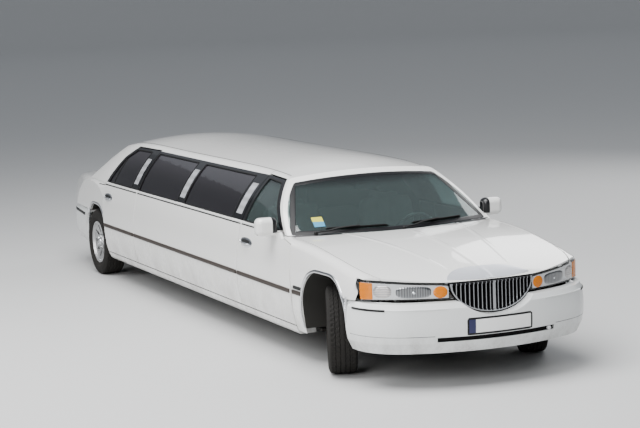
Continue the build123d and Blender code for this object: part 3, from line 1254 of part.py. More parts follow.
# half width and height of the partition's edge, from the top of the tunnel round to the roof
PARTITION_EDGE = [
    (TUNNEL_HALF + 18.0, FLOOR_Z + TUNNEL_RISE + FLOOR_SHEET + PARTITION_GAP),
    (TUNNEL_HALF + 60.0, CABIN_FLOOR_Z + PARTITION_GAP),
    (ROCKER_INNER_Y - PARTITION_GAP, CABIN_FLOOR_Z + PARTITION_GAP),
    (ROCKER_INNER_Y - PARTITION_GAP, ROCKER_TOP_Z),
    (DOOR_INNER_Y - PARTITION_GAP, ROCKER_TOP_Z), (DOOR_INNER_Y - PARTITION_GAP, BELT_Z),
    (590.0, 1328.0), (540.0, 1358.0),
    (300.0, 1392.0),
]
PARTITION_WINDOW = (450.0, 1010.0, 1290.0)
with BuildPart() as partition:
    with BuildSketch(Plane.YZ.offset(ahead(PARTITION_X[0]))):
        with BuildLine():
            Polyline(*PARTITION_EDGE, *[(-y, z) for y, z in reversed(PARTITION_EDGE)], close=True)
        make_face()
        with Locations((0, (PARTITION_WINDOW[1] + PARTITION_WINDOW[2]) / 2)):
            RectangleRounded(2 * PARTITION_WINDOW[0], PARTITION_WINDOW[2] - PARTITION_WINDOW[1], 40.0,
                             mode=Mode.SUBTRACT)
    extrude(amount=PARTITION_X[1] - PARTITION_X[0])
partition.part.label = "partition"
export_step(partition.part, "parts/partition.step")

with BuildPart() as lounge_seats:
    with BuildSketch(Plane.XZ.offset(-REAR_FLOOR_HALF)):
        with BuildLine():
            Polyline(
                (ahead(-5365.0), REAR_FLOOR_Z + FLOOR_SHEET), (ahead(-5340.0), 700.0),
                (ahead(-5700.0), 680.0),
                (ahead(-5770.0), 1120.0), (ahead(-5840.0), 1120.0),
                (ahead(-5840.0), REAR_FLOOR_Z + FLOOR_SHEET), close=True,
            )
        make_face()
    extrude(amount=2 * REAR_FLOOR_HALF)
    with BuildSketch(Plane.YZ.offset(ahead(-5150.0))):
        with BuildLine():
            Polyline(
                (-770.0, CABIN_FLOOR_Z), (-360.0, CABIN_FLOOR_Z), (-340.0, 640.0), (-700.0, 620.0),
                (-740.0, 1000.0), (-770.0, 1000.0), close=True,
            )
        make_face()
    extrude(amount=5150.0 - 2500.0)
lounge_seats.part.label = "lounge_seats"
export_step(lounge_seats.part, "parts/lounge_seats.step")
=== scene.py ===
"""Dressed model of a stretched saloon: finishes, trim, tyres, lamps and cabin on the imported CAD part."""

import logging
import math
from dataclasses import dataclass, field
from enum import Enum

import bmesh
import bpy
import numpy as np
from mathutils import Matrix, Vector


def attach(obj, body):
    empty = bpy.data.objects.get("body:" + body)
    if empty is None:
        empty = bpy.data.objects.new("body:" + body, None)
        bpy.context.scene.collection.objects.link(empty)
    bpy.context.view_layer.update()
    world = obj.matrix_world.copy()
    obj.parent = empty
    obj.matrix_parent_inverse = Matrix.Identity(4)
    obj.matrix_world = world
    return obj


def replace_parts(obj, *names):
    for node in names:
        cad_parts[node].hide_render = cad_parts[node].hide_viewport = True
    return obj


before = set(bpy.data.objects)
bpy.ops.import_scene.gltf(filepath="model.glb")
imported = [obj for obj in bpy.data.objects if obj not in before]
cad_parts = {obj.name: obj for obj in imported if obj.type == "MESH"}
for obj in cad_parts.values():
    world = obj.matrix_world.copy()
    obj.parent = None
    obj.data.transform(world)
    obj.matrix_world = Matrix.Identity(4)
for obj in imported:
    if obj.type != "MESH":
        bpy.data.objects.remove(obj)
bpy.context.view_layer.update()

LOG = logging.getLogger("stretched_saloon")
FRONT_AXLE = 3.206
REAR_AXLE = -2.832
WHEEL_RADIUS = 0.338
STEER_REST = math.radians(22.0)
KINGPIN_Y = 0.710
FRONT_WHEEL_OUT = 0.095
REAR_WHEEL_Y = 0.825
SIDES = ((1.0, "left"), (-1.0, "right"))
SEARCH_MARGIN = 0.01
THIN_AREA = 1e-12
CHUNK_SPOTS = 96
EDGE_SLACK = 1e-6
STEEPEST = 1.5
TIP_SHARE = 0.08
SIDE_PULL = 0.05
CHANNEL_WIDTH = 0.07
CHANNEL_END = 0.98
MERGE_DISTANCE = 1e-6
DEGENERATE_EDGE = 1e-7
PEBBLE_SHADE = 0.72
RIB_SHADE = 0.55
FILM_ROUGH = 0.5

Array = np.ndarray
Shape = tuple[Array, list]


def station(distance: float) -> float:
    """X of a station this far in front of the front axle."""
    return FRONT_AXLE + distance


# Surfaces


class Look(Enum):
    """The way a skin is looked at: outward axis, then the two axes of a spot."""

    END = (0, 1, 2)
    SIDE = (1, 0, 2)
    TOP = (2, 0, 1)


def quads(rows: int, columns: int, close_rows: bool = False, close_columns: bool = False) -> list:
    """Quads of a grid whose points are stored row by row.

    Args:
        rows: points along the first parameter.
        columns: points along the second parameter.
        close_rows: join the last row to the first.
        close_columns: join the last column to the first.

    Returns:
        A list of four-corner faces.
    """
    index = np.arange(rows * columns).reshape(rows, columns)
    if close_rows:
        index = np.vstack([index, index[:1]])
    if close_columns:
        index = np.hstack([index, index[:, :1]])
    cells = np.stack([index[:-1, :-1], index[1:, :-1], index[1:, 1:], index[:-1, 1:]], -1)
    return cells.reshape(-1, 4).tolist()


def slab(front: Array, back: Array) -> Shape:
    """Closed sheet between two grids of the same shape: both faces, and a rim round their edges.

    Args:
        front: outer grid, rows by columns by three.
        back: inner grid of the same shape.

    Returns:
        Points and faces.
    """
    rows, columns = front.shape[:2]
    count = rows * columns
    points = np.concatenate([front.reshape(-1, 3), back.reshape(-1, 3)])
    cells = np.array(quads(rows, columns))
    index = np.arange(count).reshape(rows, columns)
    ring = np.concatenate([index[0, :-1], index[:-1, -1], index[-1, :0:-1], index[:0:-1, 0]])
    after = np.roll(ring, -1)
    rim = np.stack([ring, after, after + count, ring + count], -1)
    return points, np.concatenate([cells, cells[:, ::-1] + count, rim]).tolist()


def join(*shapes: Shape) -> Shape:
    """Several shapes as one, each with its own points.

    Args:
        shapes: points and faces of each shape.

    Returns:
        Points and faces of them all.
    """
    points, faces, start = [], [], 0
    for place, cells in shapes:
        points.append(place)
        faces += [[corner + start for corner in cell] for cell in cells]
        start += len(place)
    return np.concatenate(points), faces


def mirrored(shape: Shape) -> Shape:
    """A shape on the other side of the car: y changes sign.

    Args:
        shape: points and faces.

    Returns:
        The mirrored shape.
    """
    return shape[0] * np.array([1.0, -1.0, 1.0]), shape[1]


def on_side(shape: Shape, sign: float) -> Shape:
    """The shape itself on the left, and its mirror on the right."""
    return shape if sign > 0 else mirrored(shape)


def unit(vectors: Array) -> Array:
    """Vectors divided by their own lengths."""
    return vectors / (np.linalg.norm(vectors, axis=-1, keepdims=True) + 1e-12)


def spaced(points: Array, step: float) -> Array:
    """A line through corners, divided evenly by its length.

    Args:
        points: corners in order, any number of columns.
        step: wanted distance between points.

    Returns:
        Points along the line, the first and last corners among them.
    """
    points = np.asarray(points, float)
    run = np.concatenate([[0.0], np.cumsum(np.linalg.norm(np.diff(points, axis=0), axis=1))])
    count = max(2, int(round(run[-1] / step)) + 1)
    at = np.linspace(0.0, run[-1], count)
    return np.stack([np.interp(at, run, column) for column in points.T], -1)


def eased(points: Array, passes: int = 2, closed: bool = False) -> Array:
    """A line with its corners rounded: each pass moves a point towards the mean of its neighbours.

    Args:
        points: points in order.
        passes: how many times.
        closed: whether the last point joins the first.

    Returns:
        The smoother line, with its ends kept if it is open.
    """
    line = np.asarray(points, float)
    for _ in range(passes):
        mean = (np.roll(line, 1, 0) + 2.0 * line + np.roll(line, -1, 0)) / 4.0
        if not closed:
            mean[0], mean[-1] = line[0], line[-1]
        line = mean
    return line


def strip_profile(width: float, height: float, foot: float = 0.002, count: int = 7,
                  power: float = 0.6) -> Array:
    """Section of a moulding: a low arch, out = height times sine to a power, over a foot below the skin.

    Args:
        width: across the strip.
        height: how far the strip stands proud.
        foot: how far its base is below the skin.
        count: points over the arch.
        power: below 1 the arch is squarer.

    Returns:
        Closed section, across and out.
    """
    angle = np.linspace(0.0, math.pi, count)
    across = width / 2.0 * np.cos(angle)
    out = height * np.sin(angle) ** power
    base = np.array([[-width / 2.0, -foot], [width / 2.0, -foot]])
    return np.concatenate([np.stack([across, out], -1), base])


def sweep(path: Array, outward: Array, section: Array, closed: bool = False, taper: float = 0.0) -> Shape:
    """Section carried along a path: point = path + across times (tangent x outward) + out times outward.

    Args:
        path: points in order.
        outward: unit vector away from the skin at each point.
        section: closed section, across and out.
        closed: whether the path is a loop.
        taper: share of the path, at each end, over which the section shrinks to 0.28 of its size.

    Returns:
        Points and faces, with capped ends if it is open.
    """
    path = np.asarray(path, float)
    if closed:
        tangent = unit(np.roll(path, -1, 0) - np.roll(path, 1, 0))
    else:
        tangent = unit(np.gradient(path, axis=0))
    across = unit(np.cross(tangent, outward))
    size = np.ones(len(path))
    if taper > 0.0:
        along = np.linspace(0.0, 1.0, len(path))
        size = np.clip(np.minimum(along, 1.0 - along) / taper, TIP_SHARE, 1.0) ** 0.5
    offset = across[:, None] * section[None, :, :1] + np.asarray(outward)[:, None] * section[None, :, 1:]
    grid = path[:, None] + offset * size[:, None, None]
    rows, columns = grid.shape[:2]
    faces = quads(rows, columns, close_rows=closed, close_columns=True)
    points = grid.reshape(-1, 3)
    if not closed:
        middles = grid[[0, -1]].mean(1)
        start = len(points)
        points = np.concatenate([points, middles])
        ring = np.arange(columns)
        after = np.roll(ring, -1)
        last = (rows - 1) * columns
        faces += np.stack([ring, after, np.full(columns, start)], -1).tolist()
        faces += np.stack([after + last, ring + last, np.full(columns, start + 1)], -1).tolist()
    return points, faces


@dataclass(frozen=True)
class Place:
    """A turned place: its origin, its own axial direction and two directions square to it."""

    origin: tuple[float, float, float]
    axial: tuple[float, float, float]

    def axes(self) -> Array:
        """Rows: axial, then two directions square to it and to each other."""
        axial = unit(np.array(self.axial, float))
        guide = np.array([0.0, 0.0, 1.0]) if abs(axial[2]) < 0.9 else np.array([1.0, 0.0, 0.0])
        first = unit(np.cross(guide, axial))
        return np.stack([axial, first, np.cross(axial, first)])

    def put(self, local: Array) -> Array:
        """Local points (axial, first, second) in the car's frame."""
        return np.array(self.origin) + local @ self.axes()


def lathe(profile: Array, place: Place, turns: int, closed: bool = False,
          relief: Array | None = None) -> Shape:
    """Profile turned about an axis: point = axial, (radius + relief) times cosine and sine of the turn.

    Args:
        profile: axial place and radius of each point.
        place: where the axis lies.
        turns: steps round the axis.
        closed: whether the profile is a loop.
        relief: added radius, turns by profile points.

    Returns:
        Points and faces; a profile that starts and ends on the axis is closed by merging its poles.
    """
    profile = np.asarray(profile, float)
    angle = np.linspace(0.0, 2.0 * math.pi, turns, endpoint=False)
    radius = np.broadcast_to(profile[:, 1], (turns, len(profile)))
    if relief is not None:
        radius = radius + relief
    axial = np.broadcast_to(profile[:, 0], radius.shape)
    local = np.stack([axial, radius * np.cos(angle)[:, None], radius * np.sin(angle)[:, None]], -1)
    points = place.put(local.reshape(-1, 3))
    return points, quads(turns, len(profile), close_rows=True, close_columns=closed)


def pillow(centre: tuple, half: tuple, tilt: float = 0.0, square: float = 0.35, ribs: int = 0,
           rib_depth: float = 0.006, rib_axis: int = 1, sag: float = 0.0, rows: int = 40,
           columns: int = 64) -> Shape:
    """Cushion: a superellipsoid, made of sines and cosines to a signed power, with sewn channels.

    Args:
        centre: middle of the cushion.
        half: half sizes along x, y and z.
        tilt: turn about y in radians.
        square: power below 1; smaller is boxier.
        ribs: number of panels between sewn channels, 0 for none.
        rib_depth: depth of a channel.
        rib_axis: axis along which the panels follow each other.
        sag: how far the middle of the top dips.
        rows: points from pole to pole.
        columns: points round.

    Returns:
        Points and faces.
    """
    rise = np.linspace(-math.pi / 2.0, math.pi / 2.0, rows)[:, None]
    turn = np.linspace(-math.pi, math.pi, columns, endpoint=False)[None, :]

    def eased_power(value: Array) -> Array:
        """Sign of a value times its size to the cushion's power."""
        return np.sign(value) * np.abs(value) ** square

    ring = eased_power(np.cos(rise))
    local = np.stack(np.broadcast_arrays(ring * eased_power(np.cos(turn)),
                                         ring * eased_power(np.sin(turn)), eased_power(np.sin(rise))), -1)
    size = np.array(half)
    pull = 1.0 - SIDE_PULL * (1.0 - np.abs(local[..., rib_axis])) * np.abs(local[..., 2]) ** 4
    place = local * size * pull[..., None]
    if ribs:
        phase = (local[..., rib_axis] + 1.0) / 2.0 * ribs
        groove = np.exp(-((phase - np.round(phase)) / CHANNEL_WIDTH) ** 2) * (np.abs(local[...,
                                                                                           rib_axis]) <
                                                                                           CHANNEL_END)
        place = place - unit(place) * (groove * rib_depth)[..., None]
    if sag:
        dip = sag * np.clip(1.0 - local[..., 0] ** 2, 0, 1) * np.clip(1.0 - local[..., 1] ** 2, 0, 1)
        place[..., 2] -= dip * (local[..., 2] > 0)
    turned = place.copy()
    turned[..., 0] = place[..., 0] * math.cos(tilt) + place[..., 2] * math.sin(tilt)
    turned[..., 2] = -place[..., 0] * math.sin(tilt) + place[..., 2] * math.cos(tilt)
    return (turned + np.array(centre)).reshape(-1, 3), quads(rows, columns, close_columns=True)


@dataclass
class Skin:
    """Outer face of some CAD nodes, looked at along one axis; what reaches past the limit is left out."""

    nodes: tuple[str, ...]
    look: Look = Look.SIDE
    facing: float = 1.0
    limit: float = math.inf
    corners: Array = field(init=False, repr=False)

    def __post_init__(self) -> None:
        """Collects the nodes' triangles."""
        found = []
        for name in self.nodes:
            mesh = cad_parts[name].data
            mesh.calc_loop_triangles()
            spots = np.empty(len(mesh.vertices) * 3)
            mesh.vertices.foreach_get("co", spots)
            order = np.empty(len(mesh.loop_triangles) * 3, np.int32)
            mesh.loop_triangles.foreach_get("vertices", order)
            found.append(spots.reshape(-1, 3)[order].reshape(-1, 3, 3))
        self.corners = np.concatenate(found)

    def depth(self, spots: Array) -> Array:
        """Furthest reach of the skin over flat spots, each tested against all triangles around them.

        Args:
            spots: rows of two flat coordinates.

        Returns:
            Reach along the outward axis, or nan where there is no skin.
        """
        out, first, second = self.look.value
        flat = self.corners[:, :, (first, second)]
        near = np.all((flat.max(1) >= spots.min(0) - SEARCH_MARGIN) & (flat.min(1) <= spots.max(0) +
                                                                       SEARCH_MARGIN), axis=1)
        flat, reach = flat[near], self.corners[near][:, :, out] * self.facing
        one, two = flat[:, 1] - flat[:, 0], flat[:, 2] - flat[:, 0]
        area = one[:, 0] * two[:, 1] - two[:, 0] * one[:, 1]
        solid = np.abs(area) > THIN_AREA
        flat, reach, one, two, area = flat[solid], reach[solid], one[solid], two[solid], area[solid]
        results = []
        for chunk in np.array_split(spots, len(spots) // CHUNK_SPOTS + 1):
            away = chunk[:, None] - flat[None, :, 0]
            u = (away[..., 0] * two[:, 1] - two[:, 0] * away[..., 1]) / area
            v = (one[:, 0] * away[..., 1] - away[..., 0] * one[:, 1]) / area
            inside = (u > -EDGE_SLACK) & (v > -EDGE_SLACK) & (u + v < 1.0 + EDGE_SLACK)
            height = reach[:, 0] + u * (reach[:, 1] - reach[:, 0]) + v * (reach[:, 2] - reach[:, 0])
            best = np.where(inside & (height < self.limit), height, -np.inf).max(1)
            results.append(np.where(np.isfinite(best), best, np.nan))
        return np.concatenate(results) * self.facing

    def filled(self, spots: Array) -> Array:
        """Reach over spots, with gaps filled from their neighbours in order."""
        depth = self.depth(spots)
        known = np.isfinite(depth)
        if not known.any():
            raise ValueError(f"no skin of {self.nodes} under these spots")
        index = np.arange(len(depth))
        return np.interp(index, index[known], depth[known])

    def lay(self, spots: Array, proud: float = 0.0) -> tuple[Array, Array]:
        """Spots laid on the skin: the normal comes from the reach a few millimetres to either side.

        Args:
            spots: rows of two flat coordinates.
            proud: distance off the skin.

        Returns:
            Points on the skin and outward unit vectors.
        """
        out, first, second = self.look.value
        spots = np.asarray(spots, float)
        depth = self.filled(spots)
        step = 0.004
        slopes = []
        for shift in (np.array([step, 0.0]), np.array([0.0, step])):
            slope = (self.depth(spots + shift) - self.depth(spots - shift)) / (2.0 * step)
            slopes.append(np.clip(np.nan_to_num(slope), -STEEPEST, STEEPEST))
        normal = np.zeros((len(spots), 3))
        normal[:, out] = self.facing
        normal[:, first] = -slopes[0] * self.facing
        normal[:, second] = -slopes[1] * self.facing
        normal = unit(eased(normal, 2))
        points = np.zeros((len(spots), 3))
        points[:, out], points[:, first], points[:, second] = depth, spots[:, 0], spots[:, 1]
        return points + normal * proud, normal


def boss(skin: Skin, centre: tuple, half: tuple, height: float, square: float = 1.0, roll: float = 0.0,
         dome: float = 2.0, sink: float = 0.003, rings: int = 9, steps: int = 48,
         dish: float = 0.0) -> Shape:
    """Raised patch on a skin, whose height falls from its middle to a rounded outline by a power.

    Args:
        skin: what it stands on.
        centre: flat place of its middle.
        half: half sizes.
        height: how far its middle stands proud.
        square: 1 for an oval outline; smaller for a boxier one.
        roll: turn in the flat view, in radians.
        dome: power of the fall; higher is flatter with a steeper edge.
        sink: how far its back is below the skin.
        rings: points from middle to edge.
        steps: points round.
        dish: how far the middle is pressed in.

    Returns:
        Points and faces, closed.
    """
    share = np.linspace(0.0, 1.0, rings)[:, None]
    turn = np.linspace(0.0, 2.0 * math.pi, steps, endpoint=False)[None, :]
    along = np.sign(np.cos(turn)) * np.abs(np.cos(turn)) ** square * half[0] * share
    up = np.sign(np.sin(turn)) * np.abs(np.sin(turn)) ** square * half[1] * share
    spots = np.stack([centre[0] + along * math.cos(roll) - up * math.sin(roll),
                      centre[1] + along * math.sin(roll) + up * math.cos(roll)], -1).reshape(-1, 2)
    base, normal = skin.lay(spots)
    proud = np.repeat((height * (1.0 - share**dome) - dish * np.cos(share * math.pi / 2.0)).ravel(),
                      steps)
    front = (base + normal * proud[:, None]).reshape(rings, steps, 3)
    back = (base - normal * sink).reshape(rings, steps, 3)
    grid = np.concatenate([front, back[::-1]])
    return grid.reshape(-1, 3), quads(2 * rings, steps, close_columns=True)


def patch(skin: Skin, first: Array, second: Array, proud: float, thickness: float,
          relief: Array | None = None) -> Shape:
    """Sheet laid on a skin over a grid of flat spots.

    Args:
        skin: what it lies on.
        first: first flat coordinate of the grid, rows by columns.
        second: second flat coordinate of the grid.
        proud: distance of its outer face off the skin.
        thickness: how far its back is behind its front.
        relief: added distance at each spot.

    Returns:
        Points and faces, closed.
    """
    spots = np.stack([first, second], -1)
    base, normal = skin.lay(spots.reshape(-1, 2))
    lift = np.full(len(base), proud) if relief is None else proud + relief.ravel()
    front = (base + normal * lift[:, None]).reshape(*first.shape, 3)
    back = (base + normal * (proud - thickness)).reshape(*first.shape, 3)
    return slab(front, back)


def piece(name: str, shape: Shape, finish: "Finish", body: str, crease: float = 35.0) -> bpy.types.Object:
    """Puts a shape into a mesh object with its finish and body; doubles merge and normals turn out.

    Args:
        name: the piece's name.
        shape: points and faces.
        finish: its finish.
        body: CAD body that it rides on.
        crease: edges sharper than this many degrees stay sharp.

    Returns:
        The object.
    """
    mesh = bpy.data.meshes.new(name)
    points, faces = shape
    mesh.from_pydata(np.asarray(points, float).tolist(), [], faces)
    form = bmesh.new()
    form.from_mesh(mesh)
    bmesh.ops.remove_doubles(form, verts=form.verts, dist=MERGE_DISTANCE)
    bmesh.ops.dissolve_degenerate(form, edges=form.edges, dist=DEGENERATE_EDGE)
    bmesh.ops.recalc_face_normals(form, faces=form.faces)
    form.to_mesh(mesh)
    form.free()
    mesh.polygons.foreach_set("use_smooth", np.ones(len(mesh.polygons), bool))
    mesh.set_sharp_from_angle(angle=math.radians(crease))
    obj = bpy.data.objects.new(name, mesh)
    bpy.context.scene.collection.objects.link(obj)
    mesh.materials.append(finish.material())
    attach(obj, body)
    LOG.info("%s: %d faces on %s", name, len(mesh.polygons), body)
    return obj


# Finishes


class Effect(Enum):
    """Shared shader effects, each a node group made once."""

    GRAIN = "fine_grain"
    FILM = "road_film"
    PEBBLE = "pebbled_skin"
    BAND = "soft_band"


class Graph:
    """Short calls for building a node tree."""

    def __init__(self, tree: bpy.types.NodeTree) -> None:
        """Keeps the tree."""
        self.tree = tree

    def node(self, kind: str, inputs: dict | None = None, **settings: object) -> bpy.types.Node:
        """Adds a node, links or sets its inputs and sets its options.

        Args:
            kind: node type.
            inputs: socket name or number, and the value or socket for it.
            settings: options of the node.

        Returns:
            The node.
        """
        made = self.tree.nodes.new(kind)
        for key, value in settings.items():
            setattr(made, key, value)
        for key, value in (inputs or {}).items():
            if isinstance(value, bpy.types.NodeSocket):
                self.tree.links.new(value, made.inputs[key])
            else:
                made.inputs[key].default_value = value
        return made

    def math(self, operation: str, first: object, second: object = 0.0) -> bpy.types.NodeSocket:
        """Result of a Math node."""
        return self.node("ShaderNodeMath", {0: first, 1: second}, operation=operation).outputs[0]

    def mix(self, share: object, first: object, second: object) -> bpy.types.NodeSocket:
        """Colour between two colours."""
        made = self.node("ShaderNodeMix", {0: share, 6: first, 7: second}, data_type="RGBA")
        return made.outputs[2]

    def level(self, value: object, low: float, high: float, out_low: float = 0.0,
              out_high: float = 1.0) -> bpy.types.NodeSocket:
        """Value mapped smoothly from one range to another."""
        return self.node("ShaderNodeMapRange", {0: value, 1: low, 2: high, 3: out_low, 4: out_high},
                         interpolation_type="SMOOTHSTEP").outputs[0]

    def effect(self, kind: Effect, inputs: dict) -> bpy.types.Node:
        """A shared effect, placed with its own values."""
        return self.node("ShaderNodeGroup", inputs, node_tree=effect_group(kind))


def effect_group(kind: Effect) -> bpy.types.NodeTree:
    """The node group of an effect, made at its first use.

    Args:
        kind: which effect.

    Returns:
        The group.
    """
    if kind.value in bpy.data.node_groups:
        return bpy.data.node_groups[kind.value]
    tree = bpy.data.node_groups.new(kind.value, "ShaderNodeTree")
    vector, number = "NodeSocketVector", "NodeSocketFloat"
    sockets = {
        Effect.GRAIN: ((("Vector", vector), ("Scale", number), ("Low", number), ("High", number)),
                       ("Value", "Height")),
        Effect.FILM: ((("Vector", vector), ("Base", number), ("Top", number), ("Amount", number)),
                      ("Mask", "Height")),
        Effect.PEBBLE: ((("Vector", vector), ("Scale", number)), ("Shade", "Height")),
        Effect.BAND: ((("Value", number), ("Low", number), ("High", number), ("Blur", number)),
                      ("Mask",)),
    }[kind]
    for name, socket_type in sockets[0]:
        tree.interface.new_socket(name=name, in_out="INPUT", socket_type=socket_type)
    for name in sockets[1]:
        tree.interface.new_socket(name=name, in_out="OUTPUT", socket_type=number)
    graph = Graph(tree)
    given = graph.node("NodeGroupInput").outputs
    if kind is Effect.GRAIN:
        fine = graph.node("ShaderNodeTexNoise", {"Vector": given["Vector"], "Scale": given["Scale"],
                                                 "Detail": 6.0, "Roughness": 0.62})
        broad = graph.node("ShaderNodeTexNoise", {"Vector": given["Vector"], "Scale": 2.3, "Detail": 3.0})
        both = graph.math("MULTIPLY_ADD", fine.outputs[0], 0.6)
        both = graph.math("ADD", both, graph.math("MULTIPLY", broad.outputs[0], 0.4))
        spread = graph.math("SUBTRACT", given["High"], given["Low"])
        value = graph.math("ADD", given["Low"], graph.math("MULTIPLY", both, spread))
        results = {"Value": value, "Height": fine.outputs[0]}
    elif kind is Effect.FILM:
        height = graph.node("ShaderNodeSeparateXYZ", {0: given["Vector"]}).outputs["Z"]
        fall = graph.node("ShaderNodeMapRange", {0: height, 1: given["Top"], 2: given["Base"], 3: 0.0,
                                                 4: 1.0}, interpolation_type="SMOOTHSTEP").outputs[0]
        streak = graph.node("ShaderNodeMapping", {"Vector": given["Vector"], "Scale": (1.0, 1.0, 0.45)})
        smear = graph.node("ShaderNodeTexNoise", {"Vector": streak.outputs[0], "Scale": 6.0,
                                                  "Detail": 8.0, "Roughness": 0.7}).outputs[0]
        specks = graph.node("ShaderNodeTexNoise", {"Vector": given["Vector"], "Scale": 90.0,
                                                   "Detail": 3.0}).outputs[0]
        cover = graph.math("MULTIPLY", graph.level(smear, 0.32, 0.72),
                           graph.level(specks, 0.25, 0.7, 0.55, 1.0))
        mask = graph.math("MULTIPLY", graph.math("MULTIPLY", fall, cover), given["Amount"])
        results = {"Mask": mask, "Height": specks}
    elif kind is Effect.PEBBLE:
        cell = graph.node("ShaderNodeTexVoronoi", {"Vector": given["Vector"], "Scale": given["Scale"]},
                          feature="DISTANCE_TO_EDGE").outputs["Distance"]
        crest = graph.level(cell, 0.0, 0.22)
        wrinkle = graph.node("ShaderNodeTexNoise", {"Vector": given["Vector"], "Scale": 22.0,
                                                    "Detail": 5.0}).outputs[0]
        # Cell edges, the grooves between pebbles, are darker: painted shade; the wrinkle noise is the skin's
        # own uneven tone.
        shade = graph.math("MULTIPLY", graph.level(wrinkle, 0.3, 0.7, 0.55, 1.0),
                           graph.level(crest, 0.0, 1.0, 0.7, 1.0))
        results = {"Shade": shade, "Height": crest}
    else:
        low = graph.math("SUBTRACT", given["Value"], given["Low"])
        high = graph.math("SUBTRACT", given["High"], given["Value"])
        inside = graph.math("DIVIDE", graph.math("MINIMUM", low, high), given["Blur"])
        results = {"Mask": graph.node("ShaderNodeClamp", {0: graph.math("ADD", inside, 0.5)}).outputs[0]}
    end = graph.node("NodeGroupOutput")
    for name, socket in results.items():
        tree.links.new(socket, end.inputs[name])
    return tree


@dataclass(frozen=True)
class Region:
    """A box of the car painted another colour, by x, y's size and z, and perhaps only where it faces down."""

    x: tuple[float, float] = (-9.0, 9.0)
    y: tuple[float, float] = (-1.0, 9.0)
    z: tuple[float, float] = (-9.0, 9.0)
    under: bool = False
    blur: float = 0.0015

    def mask(self, graph: Graph, split: bpy.types.Node,
             width: bpy.types.NodeSocket) -> bpy.types.NodeSocket:
        """Mask of the region from the object's own coordinates."""
        mask: object = 1.0
        for value, span in ((split.outputs["X"], self.x), (width, self.y), (split.outputs["Z"], self.z)):
            band = graph.effect(Effect.BAND, {"Value": value, "Low": span[0], "High": span[1],
                                              "Blur": self.blur})
            mask = graph.math("MULTIPLY", mask, band.outputs[0])
        if self.under:
            facing = graph.node("ShaderNodeSeparateXYZ",
                                {0: graph.node("ShaderNodeNewGeometry").outputs["Normal"]})
            down = graph.level(facing.outputs["Z"], -0.12, -0.2)
            mask = graph.math("MULTIPLY", mask, down)
        return mask


@dataclass(frozen=True)
class Finish:
    """A finish of this car. The material is made once and kept under its own name."""

    name: str
    slot: str
    colour: tuple = (0.5, 0.5, 0.5)
    second: tuple = (0.4, 0.4, 0.4)
    rough: tuple = (0.3, 0.5)
    scale: float = 40.0
    bump: float = 0.05
    bump_depth: float = 0.001
    metallic: float = 0.0
    transmission: float = 0.0
    ior: float = 1.5
    coat: float = 0.0
    coat_rough: float = 0.03
    sheen: float = 0.0
    film: float = 0.0
    film_top: float = 0.75
    film_colour: tuple = (0.17, 0.155, 0.135)
    pebble: float = 0.0
    specular: float = 0.5
    stretch: tuple = (1.0, 1.0, 1.0)

    def extra(self, graph: Graph, place: bpy.types.NodeSocket, colour: object, rough: object) -> tuple:
        """A finish's own pattern over colour and roughness; plain finishes add none."""
        return colour, rough, {}

    def material(self) -> bpy.types.Material:
        """The finish as a Blender material.

        Returns:
            A material with a Principled shader; colour, roughness and bump come from nodes.
        """
        if self.name in bpy.data.materials:
            return bpy.data.materials[self.name]
        made = bpy.data.materials.new(self.name)
        made.use_nodes = True
        made.node_tree.nodes.clear()
        graph = Graph(made.node_tree)
        place = graph.node("ShaderNodeTexCoord").outputs["Object"]
        pattern = graph.node("ShaderNodeMapping", {"Vector": place, "Scale": self.stretch}).outputs[0]
        grain = graph.effect(Effect.GRAIN, {"Vector": pattern, "Scale": self.scale, "Low": 0.0,
                                            "High": 1.0})
        tone = graph.level(grain.outputs["Value"], 0.3, 0.7)
        colour = graph.mix(tone, (*self.colour, 1.0), (*self.second, 1.0))
        rough = graph.level(grain.outputs["Value"], 0.3, 0.7, *self.rough)
        height = grain.outputs["Height"]
        if self.pebble:
            skin = graph.effect(Effect.PEBBLE, {"Vector": place, "Scale": self.pebble})
            # pebble grooves darkened: painted shade
            colour = graph.mix(skin.outputs["Shade"], (*[c * PEBBLE_SHADE for c in self.colour], 1.0),
                               colour)
            height = skin.outputs["Height"]
        colour, rough, others = self.extra(graph, place, colour, rough)
        if self.film:
            dirt = graph.effect(Effect.FILM, {"Vector": place, "Base": 0.2, "Top": self.film_top,
                                              "Amount": self.film})
            colour = graph.mix(dirt.outputs["Mask"], colour, (*self.film_colour, 1.0))
            rough = graph.math("ADD", rough, graph.math("MULTIPLY", dirt.outputs["Mask"], FILM_ROUGH))
            if self.coat:
                clean = graph.math("SUBTRACT", 1.0, dirt.outputs["Mask"])
                others["Coat Weight"] = graph.math("MULTIPLY", clean,
                                                   others.get("Coat Weight", self.coat))
        relief = graph.node("ShaderNodeBump", {"Strength": self.bump, "Distance": self.bump_depth,
                                               "Height": height})
        values = {"Base Color": colour, "Roughness": rough, "Metallic": self.metallic,
                  "Transmission Weight": self.transmission, "IOR": self.ior, "Coat Weight": self.coat,
                  "Coat Roughness": self.coat_rough, "Sheen Weight": self.sheen,
                  "Specular IOR Level": self.specular, "Normal": relief.outputs[0], **others}
        shader = graph.node("ShaderNodeBsdfPrincipled", values)
        graph.node("ShaderNodeOutputMaterial", {"Surface": shader.outputs[0]})
        return made


